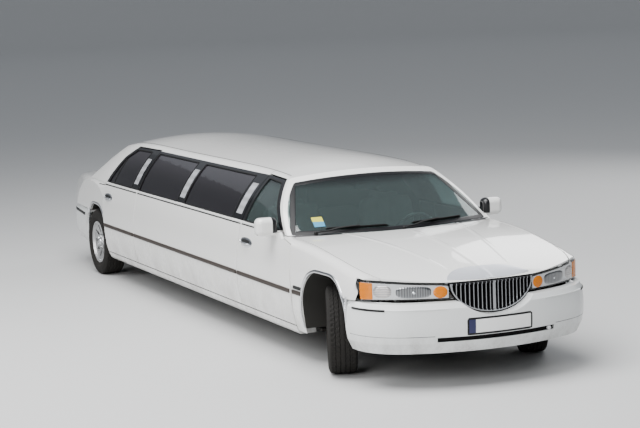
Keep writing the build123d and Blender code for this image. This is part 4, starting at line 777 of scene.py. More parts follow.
@dataclass(frozen=True)
class Painted(Finish):
    """A finish whose regions are painted other colours, each with its own roughness and coat."""

    regions: tuple = ()

    def extra(self, graph: Graph, place: bpy.types.NodeSocket, colour: object, rough: object) -> tuple:
        """Paints the regions over the base, in order.

        Args:
            graph: the material's graph.
            place: object coordinates.
            colour: colour so far.
            rough: roughness so far.

        Returns:
            Colour, roughness, and the coat where regions change it.
        """
        split = graph.node("ShaderNodeSeparateXYZ", {0: place})
        width = graph.math("ABSOLUTE", split.outputs["Y"])
        coat: object = self.coat
        for region, paint, roughness, gloss in self.regions:
            mask = region.mask(graph, split, width)
            colour = graph.mix(mask, colour, (*paint, 1.0))
            rough = graph.math("ADD", graph.math("MULTIPLY", rough, graph.math("SUBTRACT", 1.0, mask)),
                               graph.math("MULTIPLY", mask, roughness))
            coat = graph.math("ADD", graph.math("MULTIPLY", coat, graph.math("SUBTRACT", 1.0, mask)),
                              graph.math("MULTIPLY", mask, gloss))
        return colour, rough, {"Coat Weight": coat} if self.regions else {}


@dataclass(frozen=True)
class Banded(Finish):
    """A finish that turns to its third colour above a height: the windscreen's shade band, the sticker's
    second colour, and on the rear glass a lighter top that is a painted reflection.
    """

    third: tuple = (0.1, 0.1, 0.1)
    from_z: float = 1.3
    to_z: float = 1.4

    def extra(self, graph: Graph, place: bpy.types.NodeSocket, colour: object, rough: object) -> tuple:
        """Blends the third colour in between two heights."""
        height = graph.node("ShaderNodeSeparateXYZ", {0: place}).outputs["Z"]
        return graph.mix(graph.level(height, self.from_z, self.to_z), colour,
                         (*self.third, 1.0)), rough, {}


@dataclass(frozen=True)
class Ribbed(Finish):
    """A lens or sheet with straight ribs, whose pitch is given along x, y or z."""

    axis: str = "Y"
    pitch: float = 0.012

    def extra(self, graph: Graph, place: bpy.types.NodeSocket, colour: object, rough: object) -> tuple:
        """Darkens the valley of each rib, a painted shade, and bumps it."""
        along = graph.node("ShaderNodeSeparateXYZ", {0: place}).outputs[self.axis]
        wave = graph.math("SINE", graph.math("MULTIPLY", along, 2.0 * math.pi / self.pitch))
        share = graph.level(wave, -1.0, 1.0)
        # rib valleys darker: painted shade
        colour = graph.mix(share, (*[c * RIB_SHADE for c in self.colour], 1.0), colour)
        relief = graph.node("ShaderNodeBump", {"Strength": 0.5, "Distance": 0.0015, "Height": share})
        return colour, rough, {"Normal": relief.outputs[0]}


WHITE = (0.82, 0.815, 0.79)
WHITE_SHADE = (0.78, 0.775, 0.755)
GLOSS_BLACK = (0.004, 0.004, 0.005)
CABIN_GREY = (0.23, 0.225, 0.22)
ROOF_LINING = (0.42, 0.41, 0.39)
PANEL_BACK = (0.55, 0.56, 0.55)
HIGH_GLASS = Region(y=(0.55, 0.9255), z=(1.003, 1.42))
DOOR_LINING = Region(y=(-1.0, 0.900), z=(0.2, 1.003))
MIRROR_FOOT = Region(x=(1.8, 2.4), y=(0.9255, 0.975), z=(0.99, 1.2))
ROOF_INSIDE = Region(z=(1.05, 1.6), under=True)
COWL = Region(x=(2.2, 3.0), z=(0.9, 0.974))
GLASS_CORNER = Region(x=(2.2, 2.6), y=(0.5, 0.845), z=(0.9, 1.03))
UNDERSIDE = Region(under=True, blur=0.002)
WHITE_PAINT = {"slot": "body_paint", "colour": WHITE, "second": WHITE_SHADE, "rough": (0.16, 0.24),
               "scale": 160.0, "bump": 0.015, "bump_depth": 0.0006, "coat": 1.0}
SIDE_FILM = {"film": 0.62, "film_top": 0.66}

BODY_WHITE = Painted("body_white", **WHITE_PAINT, **SIDE_FILM)
DOOR_WHITE = Painted("door_white", **WHITE_PAINT, **SIDE_FILM,
                     regions=((DOOR_LINING, CABIN_GREY, 0.55, 0.0),
                              (HIGH_GLASS, GLOSS_BLACK, 0.10, 0.0), (MIRROR_FOOT, GLOSS_BLACK, 0.3, 0.0)))
ROOF_WHITE = Painted("roof_white", **WHITE_PAINT, film=0.2, film_top=0.9,
                     regions=((ROOF_INSIDE, ROOF_LINING, 0.85, 0.0), (COWL, GLOSS_BLACK, 0.4, 0.2),
                              (GLASS_CORNER, GLOSS_BLACK, 0.4, 0.0)))
HOOD_WHITE = Painted("hood_white", **WHITE_PAINT, film=0.15, film_top=0.85,
                     regions=((UNDERSIDE, PANEL_BACK, 0.6, 0.0),))
BUMPER_WHITE = Painted("bumper_white", "body_paint", (0.77, 0.78, 0.775), (0.73, 0.745, 0.74),
                       (0.24, 0.34), 120.0, 0.03, 0.0008, coat=0.7, film=0.7, film_top=0.52)
CHROME = Finish("bright_chrome", "chrome_trim", (0.84, 0.85, 0.87), (0.74, 0.75, 0.77), (0.04, 0.12),
                55.0, 0.02, 0.0005, metallic=1.0, film=0.25, film_top=0.6)
CAP_METAL = Finish("cap_bright", "chrome_trim", (0.80, 0.82, 0.86), (0.72, 0.74, 0.79), (0.30, 0.38),
                   55.0, 0.02, metallic=0.75)
BELT_TRIM = Finish("belt_bright", "chrome_trim", (0.88, 0.88, 0.87), (0.82, 0.82, 0.81), (0.12, 0.2),
                   70.0, 0.02, metallic=0.35)
RUBBER = Finish("window_rubber", "tyre_rubber", (0.006, 0.006, 0.007), (0.011, 0.011, 0.011),
                (0.5, 0.68), 90.0, 0.12, specular=0.15)
# Thin dark lines: real joints on the roof and round the filler door, painted shadow under the belt strip and
# in the bumper's lower crease.
SEAM_SHADOW = Finish("seam_shadow", "tyre_rubber", (0.012, 0.012, 0.013), (0.020, 0.020, 0.020), (0.6, 0.75),
              60.0, 0.1, specular=0.2)
SIDE_TRIM = Finish("side_moulding", "tyre_rubber", (0.020, 0.015, 0.012), (0.032, 0.024, 0.020),
                   (0.32, 0.5), 45.0, 0.1, film=0.1, film_top=0.9, specular=0.25)
TYRE = Finish("tyre_rubber_worn", "tyre_rubber", (0.008, 0.008, 0.009), (0.017, 0.016, 0.015),
              (0.62, 0.85), 60.0, 0.35, 0.0012, film=0.28, film_top=0.5,
              film_colour=(0.05, 0.045, 0.038), specular=0.15)
ALLOY = Finish("wheel_silver", "wheel_alloy", (0.60, 0.61, 0.62), (0.50, 0.505, 0.51), (0.24, 0.36),
               85.0, 0.06, 0.0006, metallic=0.85, coat=0.4, film=0.4, film_top=0.55,
               film_colour=(0.10, 0.085, 0.07))
BRAKE_IRON = Finish("brake_iron", "cast_iron", (0.26, 0.23, 0.21), (0.36, 0.33, 0.30), (0.3, 0.5), 70.0,
                    0.25, metallic=0.9)
# Rear and side glass grow lighter from 1.12 m to 1.34 m up: a painted reflection on the upper glass.
DARK_GLASS = Banded("rear_tinted_glass", "tinted_glass", (0.040, 0.036, 0.044), (0.032, 0.029, 0.036),
                    (0.02, 0.04), 8.0, 0.004, transmission=0.75, third=(0.085, 0.078, 0.092),
                    from_z=1.12, to_z=1.34)
GREEN_GLASS = Banded("front_green_glass", "green_glass", (0.34, 0.44, 0.43), (0.31, 0.42, 0.41),
                     (0.01, 0.03), 6.0, 0.003, transmission=0.95, third=(0.05, 0.06, 0.07), from_z=1.27,
                     to_z=1.36)
CLEAR_LENS = Finish("clear_lens", "lamp_glass", (0.95, 0.96, 0.96), (0.90, 0.91, 0.92), (0.01, 0.04),
                    12.0, 0.01, transmission=1.0, film=0.12, film_top=0.9)
BEZEL = Finish("lamp_bezel", "lamp_glass", (0.66, 0.67, 0.68), (0.56, 0.57, 0.58), (0.16, 0.26), 45.0,
               0.03, coat=1.0, metallic=0.35)
REFLECTOR = Ribbed("lamp_reflector", "lamp_glass", (0.44, 0.45, 0.47), (0.10, 0.105, 0.11),
                   (0.05, 0.14), 70.0, 0.2, 0.002, metallic=0.9, coat=1.0, axis="Y", pitch=0.017)
CLEAR_PART = Ribbed("lamp_clear_part", "lamp_glass", (0.62, 0.62, 0.63), (0.50, 0.46, 0.44),
                    (0.05, 0.14), 50.0, 0.1, 0.001, metallic=0.5, coat=1.0, axis="Z", pitch=0.016)
AMBER = Ribbed("amber_lens", "lamp_glass", (0.85, 0.27, 0.0), (0.78, 0.19, 0.0), (0.05, 0.12), 30.0,
               0.02, coat=0.2, specular=0.2, axis="Z", pitch=0.009)
RED_LENS = Ribbed("red_lens_ribbed", "red_lens", (0.52, 0.012, 0.010), (0.44, 0.009, 0.008),
                  (0.05, 0.12), 30.0, 0.02, coat=1.0, axis="Z", pitch=0.014)
LAMP_WHITE = Ribbed("reversing_lens", "lamp_glass", (0.78, 0.79, 0.80), (0.70, 0.71, 0.72),
                    (0.06, 0.14), 30.0, 0.02, coat=1.0, axis="Z", pitch=0.010)
STRIP_LENS = Ribbed("strip_lens_white", "strip_lens", (0.84, 0.85, 0.88), (0.62, 0.63, 0.67),
                    (0.10, 0.2), 35.0, 0.03, coat=1.0, metallic=0.4, axis="Z", pitch=0.062)
UNDER = Finish("under_black_paint", "under_black", (0.012, 0.012, 0.012), (0.026, 0.024, 0.022),
               (0.5, 0.75), 28.0, 0.2, 0.0012, film=0.5, film_top=0.6, film_colour=(0.10, 0.085, 0.065))
FLOOR_PAINT = Finish("floor_undercoat", "under_black", (0.012, 0.012, 0.012), (0.024, 0.023, 0.021),
                     (0.7, 0.9), 24.0, 0.3, 0.0015, film=0.2, film_top=0.5,
                     film_colour=(0.06, 0.05, 0.04), specular=0.2)
IRON = Finish("engine_iron", "cast_iron", (0.12, 0.115, 0.11), (0.19, 0.18, 0.165), (0.45, 0.7), 38.0,
              0.35, 0.0015, metallic=0.7)
STEEL = Finish("exhaust_pipe_steel", "exhaust_steel", (0.34, 0.32, 0.30), (0.46, 0.40, 0.33),
               (0.35, 0.6), 18.0, 0.2, metallic=0.9, film=0.4, film_top=0.4)
TANK = Finish("tank_moulded", "tank_plastic", (0.035, 0.036, 0.038), (0.055, 0.055, 0.056), (0.4, 0.6),
              26.0, 0.2, film=0.4, film_top=0.5)
PLASTIC = Finish("cabin_moulded", "cabin_plastic", (0.115, 0.11, 0.105), (0.145, 0.14, 0.135),
                 (0.48, 0.66), 60.0, 0.2, pebble=420.0)
LEATHER = Finish("seat_grey_leather", "seat_leather", (0.30, 0.29, 0.275), (0.36, 0.345, 0.33),
                 (0.38, 0.55), 20.0, 0.28, 0.0012, pebble=260.0, sheen=0.15)
BLACK_GRID = Finish("cowl_black", "under_black", (0.006, 0.006, 0.007), (0.012, 0.012, 0.012),
                    (0.35, 0.55), 60.0, 0.15, specular=0.15)
WIPER_BLACK = Finish("wiper_satin", "under_black", (0.006, 0.006, 0.007), (0.012, 0.012, 0.012),
                     (0.35, 0.5), 80.0, 0.05, specular=0.2)
SCREEN_BAND = Finish("screen_band", "under_black", (0.003, 0.003, 0.004), (0.006, 0.006, 0.007),
                     (0.2, 0.3), 60.0, 0.05, specular=0.25)
MIRROR_GLASS = Finish("mirror_silver", "chrome_trim", (0.80, 0.83, 0.86), (0.77, 0.80, 0.83),
                      (0.01, 0.03), 20.0, 0.002, metallic=1.0)
PLATE_WHITE = Finish("blank_plate", "body_paint", (0.90, 0.90, 0.89), (0.86, 0.86, 0.85), (0.3, 0.4),
                     60.0, 0.04, coat=0.3, film=0.3, film_top=0.55)
PLATE_BLUE = Finish("plate_band_blue", "body_paint", (0.002, 0.004, 0.050), (0.003, 0.006, 0.062),
                    (0.3, 0.4), 60.0, 0.04, coat=0.3)
STICKER_TWO = Banded("screen_sticker", "chrome_trim", (0.02, 0.19, 0.32), (0.025, 0.21, 0.35),
                     (0.4, 0.5), 30.0, 0.02, third=(0.46, 0.44, 0.02), from_z=1.060, to_z=1.062)
FLOOR_PALE = Finish("studio_floor", "body_paint", (0.58, 0.58, 0.57), (0.54, 0.54, 0.535), (0.55, 0.75),
                    3.0, 0.02)
# Near-black, barely glossy sheet behind the bumper's slot: painted shade in the opening.
SLOT_SHADE = Finish("slot_painted_shade", "under_black", (0.003, 0.003, 0.003), (0.006, 0.006, 0.006),
                     (0.5, 0.7), 40.0, 0.1, specular=0.05)


@dataclass(frozen=True)
class Nosed(Finish):
    """A finish for upright bars in an oval rim: bright on noses and rim, black behind as painted shade."""

    curve_x: float = 2.844
    curve_radius: float = 1.3035
    bar_pitch: float = 0.0324
    bar_edge: float = 0.86
    centre_half: float = 0.011
    oval_half: tuple = (0.338, 0.222)
    oval_z: float = 0.762
    rim_share: float = 0.972

    def extra(self, graph: Graph, place: bpy.types.NodeSocket, colour: object, rough: object) -> tuple:
        """Keeps the finish near the nose's curve, where a bar's middle, the centre bar or the rim lies.

        A bar's middle is where the cosine of y over the pitch is high, and the rim is where the length of
        (y, z) over the oval's half sizes is near 1.
        """
        split = graph.node("ShaderNodeSeparateXYZ", {0: place})
        flat = graph.node("ShaderNodeMapping", {"Vector": place, "Location": (-self.curve_x, 0.0, 0.0),
                                                "Scale": (1.0, 1.0, 0.0)}).outputs[0]
        reach = graph.node("ShaderNodeVectorMath", {0: flat}, operation="LENGTH").outputs["Value"]
        nose = graph.level(reach, self.curve_radius - 0.002, self.curve_radius + 0.002)
        wave = graph.math("COSINE", graph.math("MULTIPLY", split.outputs["Y"],
                                               2.0 * math.pi / self.bar_pitch))
        bars = graph.level(wave, self.bar_edge - 0.08, self.bar_edge + 0.08)
        width = graph.math("ABSOLUTE", split.outputs["Y"])
        centre = graph.math("SUBTRACT", 1.0, graph.level(width, self.centre_half - 0.001,
                                                         self.centre_half + 0.001))
        half_y, half_z = self.oval_half
        oval = graph.node("ShaderNodeMapping",
                          {"Vector": place, "Location": (0.0, 0.0, -self.oval_z / half_z),
                           "Scale": (0.0, 1.0 / half_y, 1.0 / half_z)}).outputs[0]
        share = graph.node("ShaderNodeVectorMath", {0: oval}, operation="LENGTH").outputs["Value"]
        rim = graph.level(share, self.rim_share - 0.006, self.rim_share + 0.006)
        bright = graph.math("MULTIPLY", nose,
                            graph.math("MAXIMUM", rim, graph.math("MAXIMUM", bars, centre)))
        # Off the noses and the rim the grille is painted black: painted shade behind and between the bars.
        colour = graph.mix(bright, (0.004, 0.004, 0.005, 1.0), colour)
        rough = graph.math("ADD", rough, graph.math("MULTIPLY", graph.math("SUBTRACT", 1.0, bright),
                                                    0.45))
        return colour, rough, {"Metallic": bright}


GRILLE = Nosed("grille_bars", "chrome_trim", (0.56, 0.57, 0.59), (0.44, 0.45, 0.47), (0.05, 0.13), 50.0,
               0.02, metallic=1.0, specular=0.1)

WHEELS = ("front_left", "front_right", "rear_left", "rear_right")
FINISH_NODES = (
    (BODY_WHITE, ("front_fenders", "quarter_panels", "rocker_sills")),
    (DOOR_WHITE, ("left_front_door", "right_front_door", "left_rear_door", "right_rear_door",
                  "stretch_panels")),
    (ROOF_WHITE, ("roof_panel",)),
    (HOOD_WHITE, ("hood", "trunk_lid")),
    (BUMPER_WHITE, ("front_bumper", "rear_bumper")),
    (GREEN_GLASS, ("windshield", "left_front_door_glass", "right_front_door_glass")),
    (DARK_GLASS, ("side_windows", "rear_window", "left_rear_door_glass", "right_rear_door_glass")),
    (CLEAR_LENS, ("headlamps",)),
    (RED_LENS, ("tail_lamps",)),
    (STRIP_LENS, ("pillar_lamps",)),
    (GRILLE, ("grille",)),
    (UNDER, ("chassis_frame", "front_suspension", "rear_axle", "left_knuckle", "right_knuckle")),
    (FLOOR_PAINT, ("floor_pan",)),
    (IRON, ("engine_block",)),
    (STEEL, ("exhaust",)),
    (TANK, ("fuel_tank",)),
    (PLASTIC, ("dashboard", "partition")),
    (LEATHER, ("front_seats", "lounge_seats")),
    (ALLOY, tuple(corner + "_wheel" for corner in WHEELS)),
    (TYRE, tuple(corner + "_tyre" for corner in WHEELS)),
)
NODE_FINISHES = {node: finish for finish, nodes in FINISH_NODES for node in nodes}


def dress_nodes() -> None:
    """Gives every CAD node its procedural finish."""
    for name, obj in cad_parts.items():
        obj.data.materials.clear()
        obj.data.materials.append(NODE_FINISHES[name].material())
        obj.data.polygons.foreach_set("material_index", np.zeros(len(obj.data.polygons), np.int32))
    LOG.info("dressed %d CAD nodes", len(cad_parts))


# Wheels


def wheel_place(front: bool, sign: float) -> Place:
    """Where a wheel stands at rest: its centre, and its axis pointing away from the car.

    Args:
        front: whether it is a front wheel, which rests turned to the right.
        sign: 1 on the left, -1 on the right.

    Returns:
        The wheel's place.
    """
    if not front:
        return Place((REAR_AXLE, sign * REAR_WHEEL_Y, WHEEL_RADIUS), (0.0, sign, 0.0))
    out = (sign * math.sin(STEER_REST), sign * math.cos(STEER_REST), 0.0)
    centre = (FRONT_AXLE + FRONT_WHEEL_OUT * out[0], sign * KINGPIN_Y + FRONT_WHEEL_OUT * out[1],
              WHEEL_RADIUS)
    return Place(centre, out)


@dataclass
class Tyre:
    """A road tyre: a bulged section turned about the axle, with grooves and blocks in its tread."""

    name: str
    body: str
    node: str
    place: Place
    radius: float = 0.338
    tread_half: float = 0.084
    crown: float = 0.004
    groove: float = 0.0075
    groove_lines: tuple = (-0.054, -0.019, 0.019, 0.054)
    groove_half: float = 0.0042
    groove_sway: float = 0.0025
    groove_waves: float = 48.0
    blocks: float = 56.0
    slit: float = 0.0035
    notch: float = 0.006
    shoulder_start: float = 0.064
    turns: int = 336
    wall: tuple = ((0.089, 0.3315), (0.0965, 0.3265), (0.1025, 0.318), (0.1065, 0.306), (0.1062, 0.303),
                   (0.1090, 0.299), (0.1105, 0.286), (0.1110, 0.272), (0.1100, 0.259), (0.1075, 0.247),
                   (0.1052, 0.244), (0.1045, 0.238), (0.1050, 0.234), (0.1010, 0.227), (0.0960, 0.2195),
                   (0.0925, 0.2160), (0.0880, 0.2145))

    def profile(self) -> Array:
        """Closed section: a crown falling with the square of the distance from the middle, and two walls."""
        across = np.linspace(-self.tread_half, self.tread_half, 57)
        crown = self.radius - self.crown * (across / self.tread_half) ** 2
        wall = np.array(self.wall)
        return np.concatenate([np.stack([across, crown], -1), wall, (wall * [-1.0, 1.0])[::-1]])

    def relief(self, profile: Array) -> Array:
        """Cuts: wavy grooves round the tread, slanted slits between them, and notches at the shoulders."""
        turn = np.linspace(0.0, 2.0 * math.pi, self.turns, endpoint=False)[:, None]
        across = profile[None, :, 0]
        tread = (np.abs(across) < self.tread_half + 0.001) & (profile[None, :, 1] > 0.3)
        cut = np.zeros((self.turns, len(profile)))
        for middle in self.groove_lines:
            wave = middle + self.groove_sway * np.sin(self.groove_waves * turn + middle * 40.0)
            cut = np.maximum(cut, self.groove * np.exp(-(((across - wave) / self.groove_half) ** 4)))
        slit = np.clip((np.sin(self.blocks * turn + across * 60.0) - 0.55) / 0.3, 0.0, 1.0)
        cut = np.maximum(cut, self.slit * slit * (np.abs(across) > 0.006))
        shoulder = np.clip((np.abs(across) - self.shoulder_start) / 0.006, 0.0, 1.0)
        notch = np.clip((np.sin(self.blocks * turn) - 0.35) / 0.25, 0.0, 1.0)
        cut = np.maximum(cut, self.notch * notch * shoulder)
        return -cut * tread

    def build(self) -> None:
        """Makes the tyre, which stands for the CAD tyre."""
        profile = self.profile()
        shape = lathe(profile, self.place, self.turns, closed=True, relief=self.relief(profile))
        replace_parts(piece(self.name, shape, TYRE, self.body, crease=30.0), self.node)


@dataclass
class WheelFittings:
    """What sits on a wheel: centre cap, nuts, valve, and the brake disc that shows through its windows."""

    name: str
    body: str
    place: Place
    face: float = 0.072
    nuts: int = 5
    nut_circle: float = 0.0575

    def build(self) -> None:
        """Makes the cap, nuts, valve and disc as turned shapes."""
        cap = np.array([[self.face - 0.004, 0.0], [self.face - 0.004, 0.036],
                        [self.face + 0.008, 0.036], [self.face + 0.014, 0.032],
                        [self.face + 0.018, 0.022], [self.face + 0.016, 0.012], [self.face + 0.016, 0.0]])
        piece(self.name + "_cap", lathe(cap, self.place, 48), CHROME, self.body, crease=50.0)
        nut = np.array([[self.face - 0.003, 0.0], [self.face - 0.003, 0.0115],
                        [self.face + 0.012, 0.0115], [self.face + 0.017, 0.008],
                        [self.face + 0.018, 0.0]])
        rim = np.array([[0.086, 0.0], [0.086, 0.005], [0.104, 0.0045], [0.110, 0.003], [0.110, 0.0]])
        shapes = []
        for turn in np.linspace(0.0, 2.0 * math.pi, self.nuts, endpoint=False):
            spot = self.place.put(np.array([0.0, self.nut_circle * math.cos(turn),
                                            self.nut_circle * math.sin(turn)]))
            shapes.append(lathe(nut, Place(tuple(spot), self.place.axial), 6))
        spot = self.place.put(np.array([-0.012, 0.0, -0.186]))
        shapes.append(lathe(rim, Place(tuple(spot), self.place.axial), 10))
        piece(self.name + "_nuts", join(*shapes), CHROME, self.body, crease=28.0)
        disc = np.array([[-0.012, 0.080], [-0.012, 0.150], [0.010, 0.150], [0.010, 0.098],
                         [0.018, 0.092], [0.018, 0.080]])
        piece(self.name + "_brake_disc", lathe(disc, self.place, 72, closed=True), BRAKE_IRON,
              self.body, crease=35.0)


@dataclass
class RunningGear:
    """Four tyres and what sits on the four wheels."""

    def build(self) -> None:
        """Makes each corner on its own wheel body."""
        for end, front in (("front", True), ("rear", False)):
            for sign, side in SIDES:
                name = f"{end}_{side}"
                place = wheel_place(front, sign)
                Tyre(name + "_road_tyre", name + "_wheel", name + "_tyre", place).build()
                WheelFittings(name + "_hub", name + "_wheel", place).build()


# Sides


@dataclass
class SideTrim:
    """Mouldings, belt strips, window rubbers, handles, arch lips and mirrors of both sides."""

    mirror_start: float = 0.930
    moulding_z: float = 0.5735
    moulding_height: float = 0.034
    moulding_proud: float = 0.011
    belt_z: float = 0.9885
    window_low: float = 1.012
    window_high: float = 1.340
    arch_half: float = 0.402
    arch_bend: float = 0.310
    step: float = 0.02

    def side_run(self, name: str, body: str, nodes: tuple[str, ...], corners: list, section: Array,
                 finish: Finish, closed: bool = False, taper: float = 0.0,
                 limit: float = math.inf) -> None:
        """A strip along a line in x and z on the left side, and its mirror on the right.

        Args:
            name: name of the pair, to which the side is added.
            body: body, with {side} where the side's name goes.
            nodes: CAD nodes on the left that carry it.
            corners: corners in x and z.
            section: section of the strip.
            finish: its finish.
            closed: whether it is a loop.
            taper: share of its length over which each end narrows.
            limit: y past which the nodes' skin is left out.
        """
        line = spaced(np.array(corners + corners[:1] if closed else corners), self.step)
        line = line[:-1] if closed else line
        base, normal = Skin(nodes, limit=limit).lay(line)
        shape = sweep(base, normal, section, closed=closed, taper=taper)
        for sign, side in SIDES:
            piece(f"{side}_{name}", on_side(shape, sign), finish, body.format(side=side))

    def build(self) -> None:
        """Makes all the trim of the sides."""
        self.mouldings()
        self.belts()
        self.rubbers()
        self.arches()
        self.handles()
        self.mirrors()

    def mouldings(self) -> None:
        """The brown strip along the side, in one length for each panel, and its black end block."""
        section = strip_profile(self.moulding_height, self.moulding_proud, power=0.35, count=11)
        runs = (("fender_moulding", "root", "front_fenders", -0.392, -0.550),
                ("front_door_moulding", "{side}_front_door", "left_front_door", -0.592, -1.742),
                ("stretch_moulding", "root", "stretch_panels", -1.774, -4.580),
                ("rear_door_moulding", "{side}_rear_door", "left_rear_door", -4.612, -5.556))
        for name, body, node, start, end in runs:
            line = [(station(start), self.moulding_z), (station(end), self.moulding_z)]
            self.side_run(name, body, (node,), line, section, SIDE_TRIM)
        block = boss(Skin(("front_fenders",)), (station(-0.462), 0.612), (0.086, 0.014), 0.010,
                     square=0.3, dome=6.0)
        for sign, side in SIDES:
            piece(f"{side}_fender_block", on_side(block, sign), WIPER_BLACK, "root")

    def belts(self) -> None:
        """Bright strip below the side glass with a dark line under it, a painted shadow."""
        bright = strip_profile(0.013, 0.0055, power=0.5)
        dark = strip_profile(0.011, 0.002, power=0.4)
        runs = (("front_door_belt", "{side}_front_door", "left_front_door", -0.99, -1.742),
                ("stretch_belt", "root", "stretch_panels", -1.772, -4.582),
                ("rear_door_belt", "{side}_rear_door", "left_rear_door", -4.610, -5.630),
                ("quarter_belt", "root", "quarter_panels", -5.655, -5.86))
        for name, body, node, start, end in runs:
            upper = [(station(start), self.belt_z), (station(end), self.belt_z)]
            lower = [(station(start), self.belt_z - 0.012), (station(end), self.belt_z - 0.012)]
            if node == "quarter_panels":
                upper = [(x, z - 0.012) for x, z in upper]
                lower = [(x, z - 0.012) for x, z in lower]
            self.side_run(name, body, (node,), upper, bright, BELT_TRIM)
            # dark line under the bright strip: painted shadow
            self.side_run(name + "_seal", body, (node,), lower, dark, SEAM_SHADOW)

    def rubbers(self) -> None:
        """Rubber round each side window, the quarter light's bar, and the lamp strip on each rear door."""
        section = strip_profile(0.011, 0.003, power=0.5)
        low, high, edge = self.window_low - 0.005, self.window_high + 0.005, 0.005
        front = [(station(-0.985) + edge, low), (station(-1.200), 1.160 + edge),
                 (station(-1.402), 1.324 + edge), (station(-1.693) - edge, high),
                 (station(-1.693) - edge, low)]
        rear = [(station(-4.800) + edge, low), (station(-4.800) + edge, high),
                (station(-5.235), 1.334 + edge), (station(-5.400) - edge, 1.242 + edge),
                (station(-5.555) - edge, low)]
        self.side_run("front_door_rubber", "{side}_front_door", ("left_front_door",), front, section,
                      RUBBER, closed=True, limit=self.mirror_start)
        self.side_run("rear_door_rubber", "{side}_rear_door", ("left_rear_door",), rear, section,
                      RUBBER, closed=True)
        for number, (start, end) in enumerate(((-1.995, -3.235), (-3.435, -4.560))):
            window = [(station(start) + edge, low), (station(start) + edge, high),
                      (station(end) - edge, high), (station(end) - edge, low)]
            self.side_run(f"stretch_rubber_{number}", "root", ("stretch_panels",), window, section,
                          RUBBER, closed=True)
        bar = [(station(-5.398), 1.016), (station(-5.372), 1.238)]
        self.side_run("quarter_light_bar", "{side}_rear_door", ("left_rear_door_glass",), bar,
                      strip_profile(0.022, 0.006, power=0.4), RUBBER)
        x, z = np.meshgrid(np.linspace(station(-4.642), station(-4.758), 9),
                           np.linspace(1.053, 1.289, 13), indexing="ij")
        lamp = patch(Skin(("left_rear_door",)), x, z, 0.0012, 0.003)
        for sign, side in SIDES:
            piece(f"{side}_door_lamp_face", on_side(lamp, sign), STRIP_LENS, f"{side}_rear_door")

    def arch_line(self, middle: float, top: float, grow: float, low: float) -> list:
        """Wheel arch edge: two uprights joined over the wheel by quarter circles and a level."""
        half, bend = self.arch_half + grow, self.arch_bend + grow
        turn = np.linspace(0.0, math.pi / 2.0, 12)
        front = np.stack([middle + half - bend + bend * np.cos(turn),
                          top + grow - bend + bend * np.sin(turn)], -1)
        rear = np.stack([2.0 * middle - front[::-1, 0], front[::-1, 1]], -1)
        line = np.concatenate([[[middle + half, low]], front, rear, [[middle - half, low]]])
        return [tuple(spot) for spot in line]

    def arches(self) -> None:
        """Thin bright lip round each wheel arch."""
        section = strip_profile(0.026, 0.0075, power=0.5)
        front = self.arch_line(station(0.010), 0.780, 0.008, 0.665)
        self.side_run("front_arch_lip", "root", ("front_fenders",), front[:-1] + [(front[-1][0], 0.31)],
                      section, CHROME)
        rear = self.arch_line(REAR_AXLE + 0.028, 0.740, 0.008, 0.668)
        self.side_run("rear_arch_lip", "root", ("quarter_panels",), rear, section, CHROME)

    def handles(self) -> None:
        """Oval door handles: bright plate, a dark patch of painted shade in the recess behind the grip,
        lifted grip, and the lock beside it.
        """
        for name, node, x, z in (("front_door", "left_front_door", -1.575, 0.842),
                                 ("rear_door", "left_rear_door", -5.470, 0.858)):
            skin = Skin((node,))
            centre = (station(x), z)
            plate = boss(skin, centre, (0.132, 0.040), 0.0075, dome=5.0, square=0.9)
            # black patch in the handle's recess: painted shade
            hollow_shade = boss(skin, (centre[0] + 0.004, z + 0.006), (0.102, 0.021), 0.0095, dome=8.0,
                          square=0.85)
            grip = boss(skin, (centre[0], z - 0.009), (0.104, 0.0130), 0.026, dome=2.6, square=0.8)
            lock = boss(skin, (centre[0] - 0.146, z - 0.002), (0.011, 0.011), 0.006, dome=4.0, steps=24)
            for sign, side in SIDES:
                body = f"{side}_{name}"
                piece(f"{side}_{name}_handle_plate", on_side(plate, sign), CHROME, body)
                piece(f"{side}_{name}_handle_hollow", on_side(hollow_shade, sign), WIPER_BLACK, body)
                piece(f"{side}_{name}_handle_grip", on_side(grip, sign), CHROME, body)
                piece(f"{side}_{name}_lock", on_side(lock, sign), CHROME, body)

    def mirrors(self) -> None:
        """Silvered glass on the back of each mirror, in a thin dark frame."""
        skin = Skin(("left_front_door",), Look.END, -1.0)
        rim = boss(skin, (1.014, 1.040), (0.074, 0.056), 0.0008, square=0.5, dome=12.0)
        glass = boss(skin, (1.014, 1.040), (0.068, 0.050), 0.0020, square=0.5, dome=14.0)
        for sign, side in SIDES:
            piece(f"{side}_mirror_rim", on_side(rim, sign), WIPER_BLACK, f"{side}_front_door")
            piece(f"{side}_mirror_glass", on_side(glass, sign), MIRROR_GLASS, f"{side}_front_door")


# Top and front


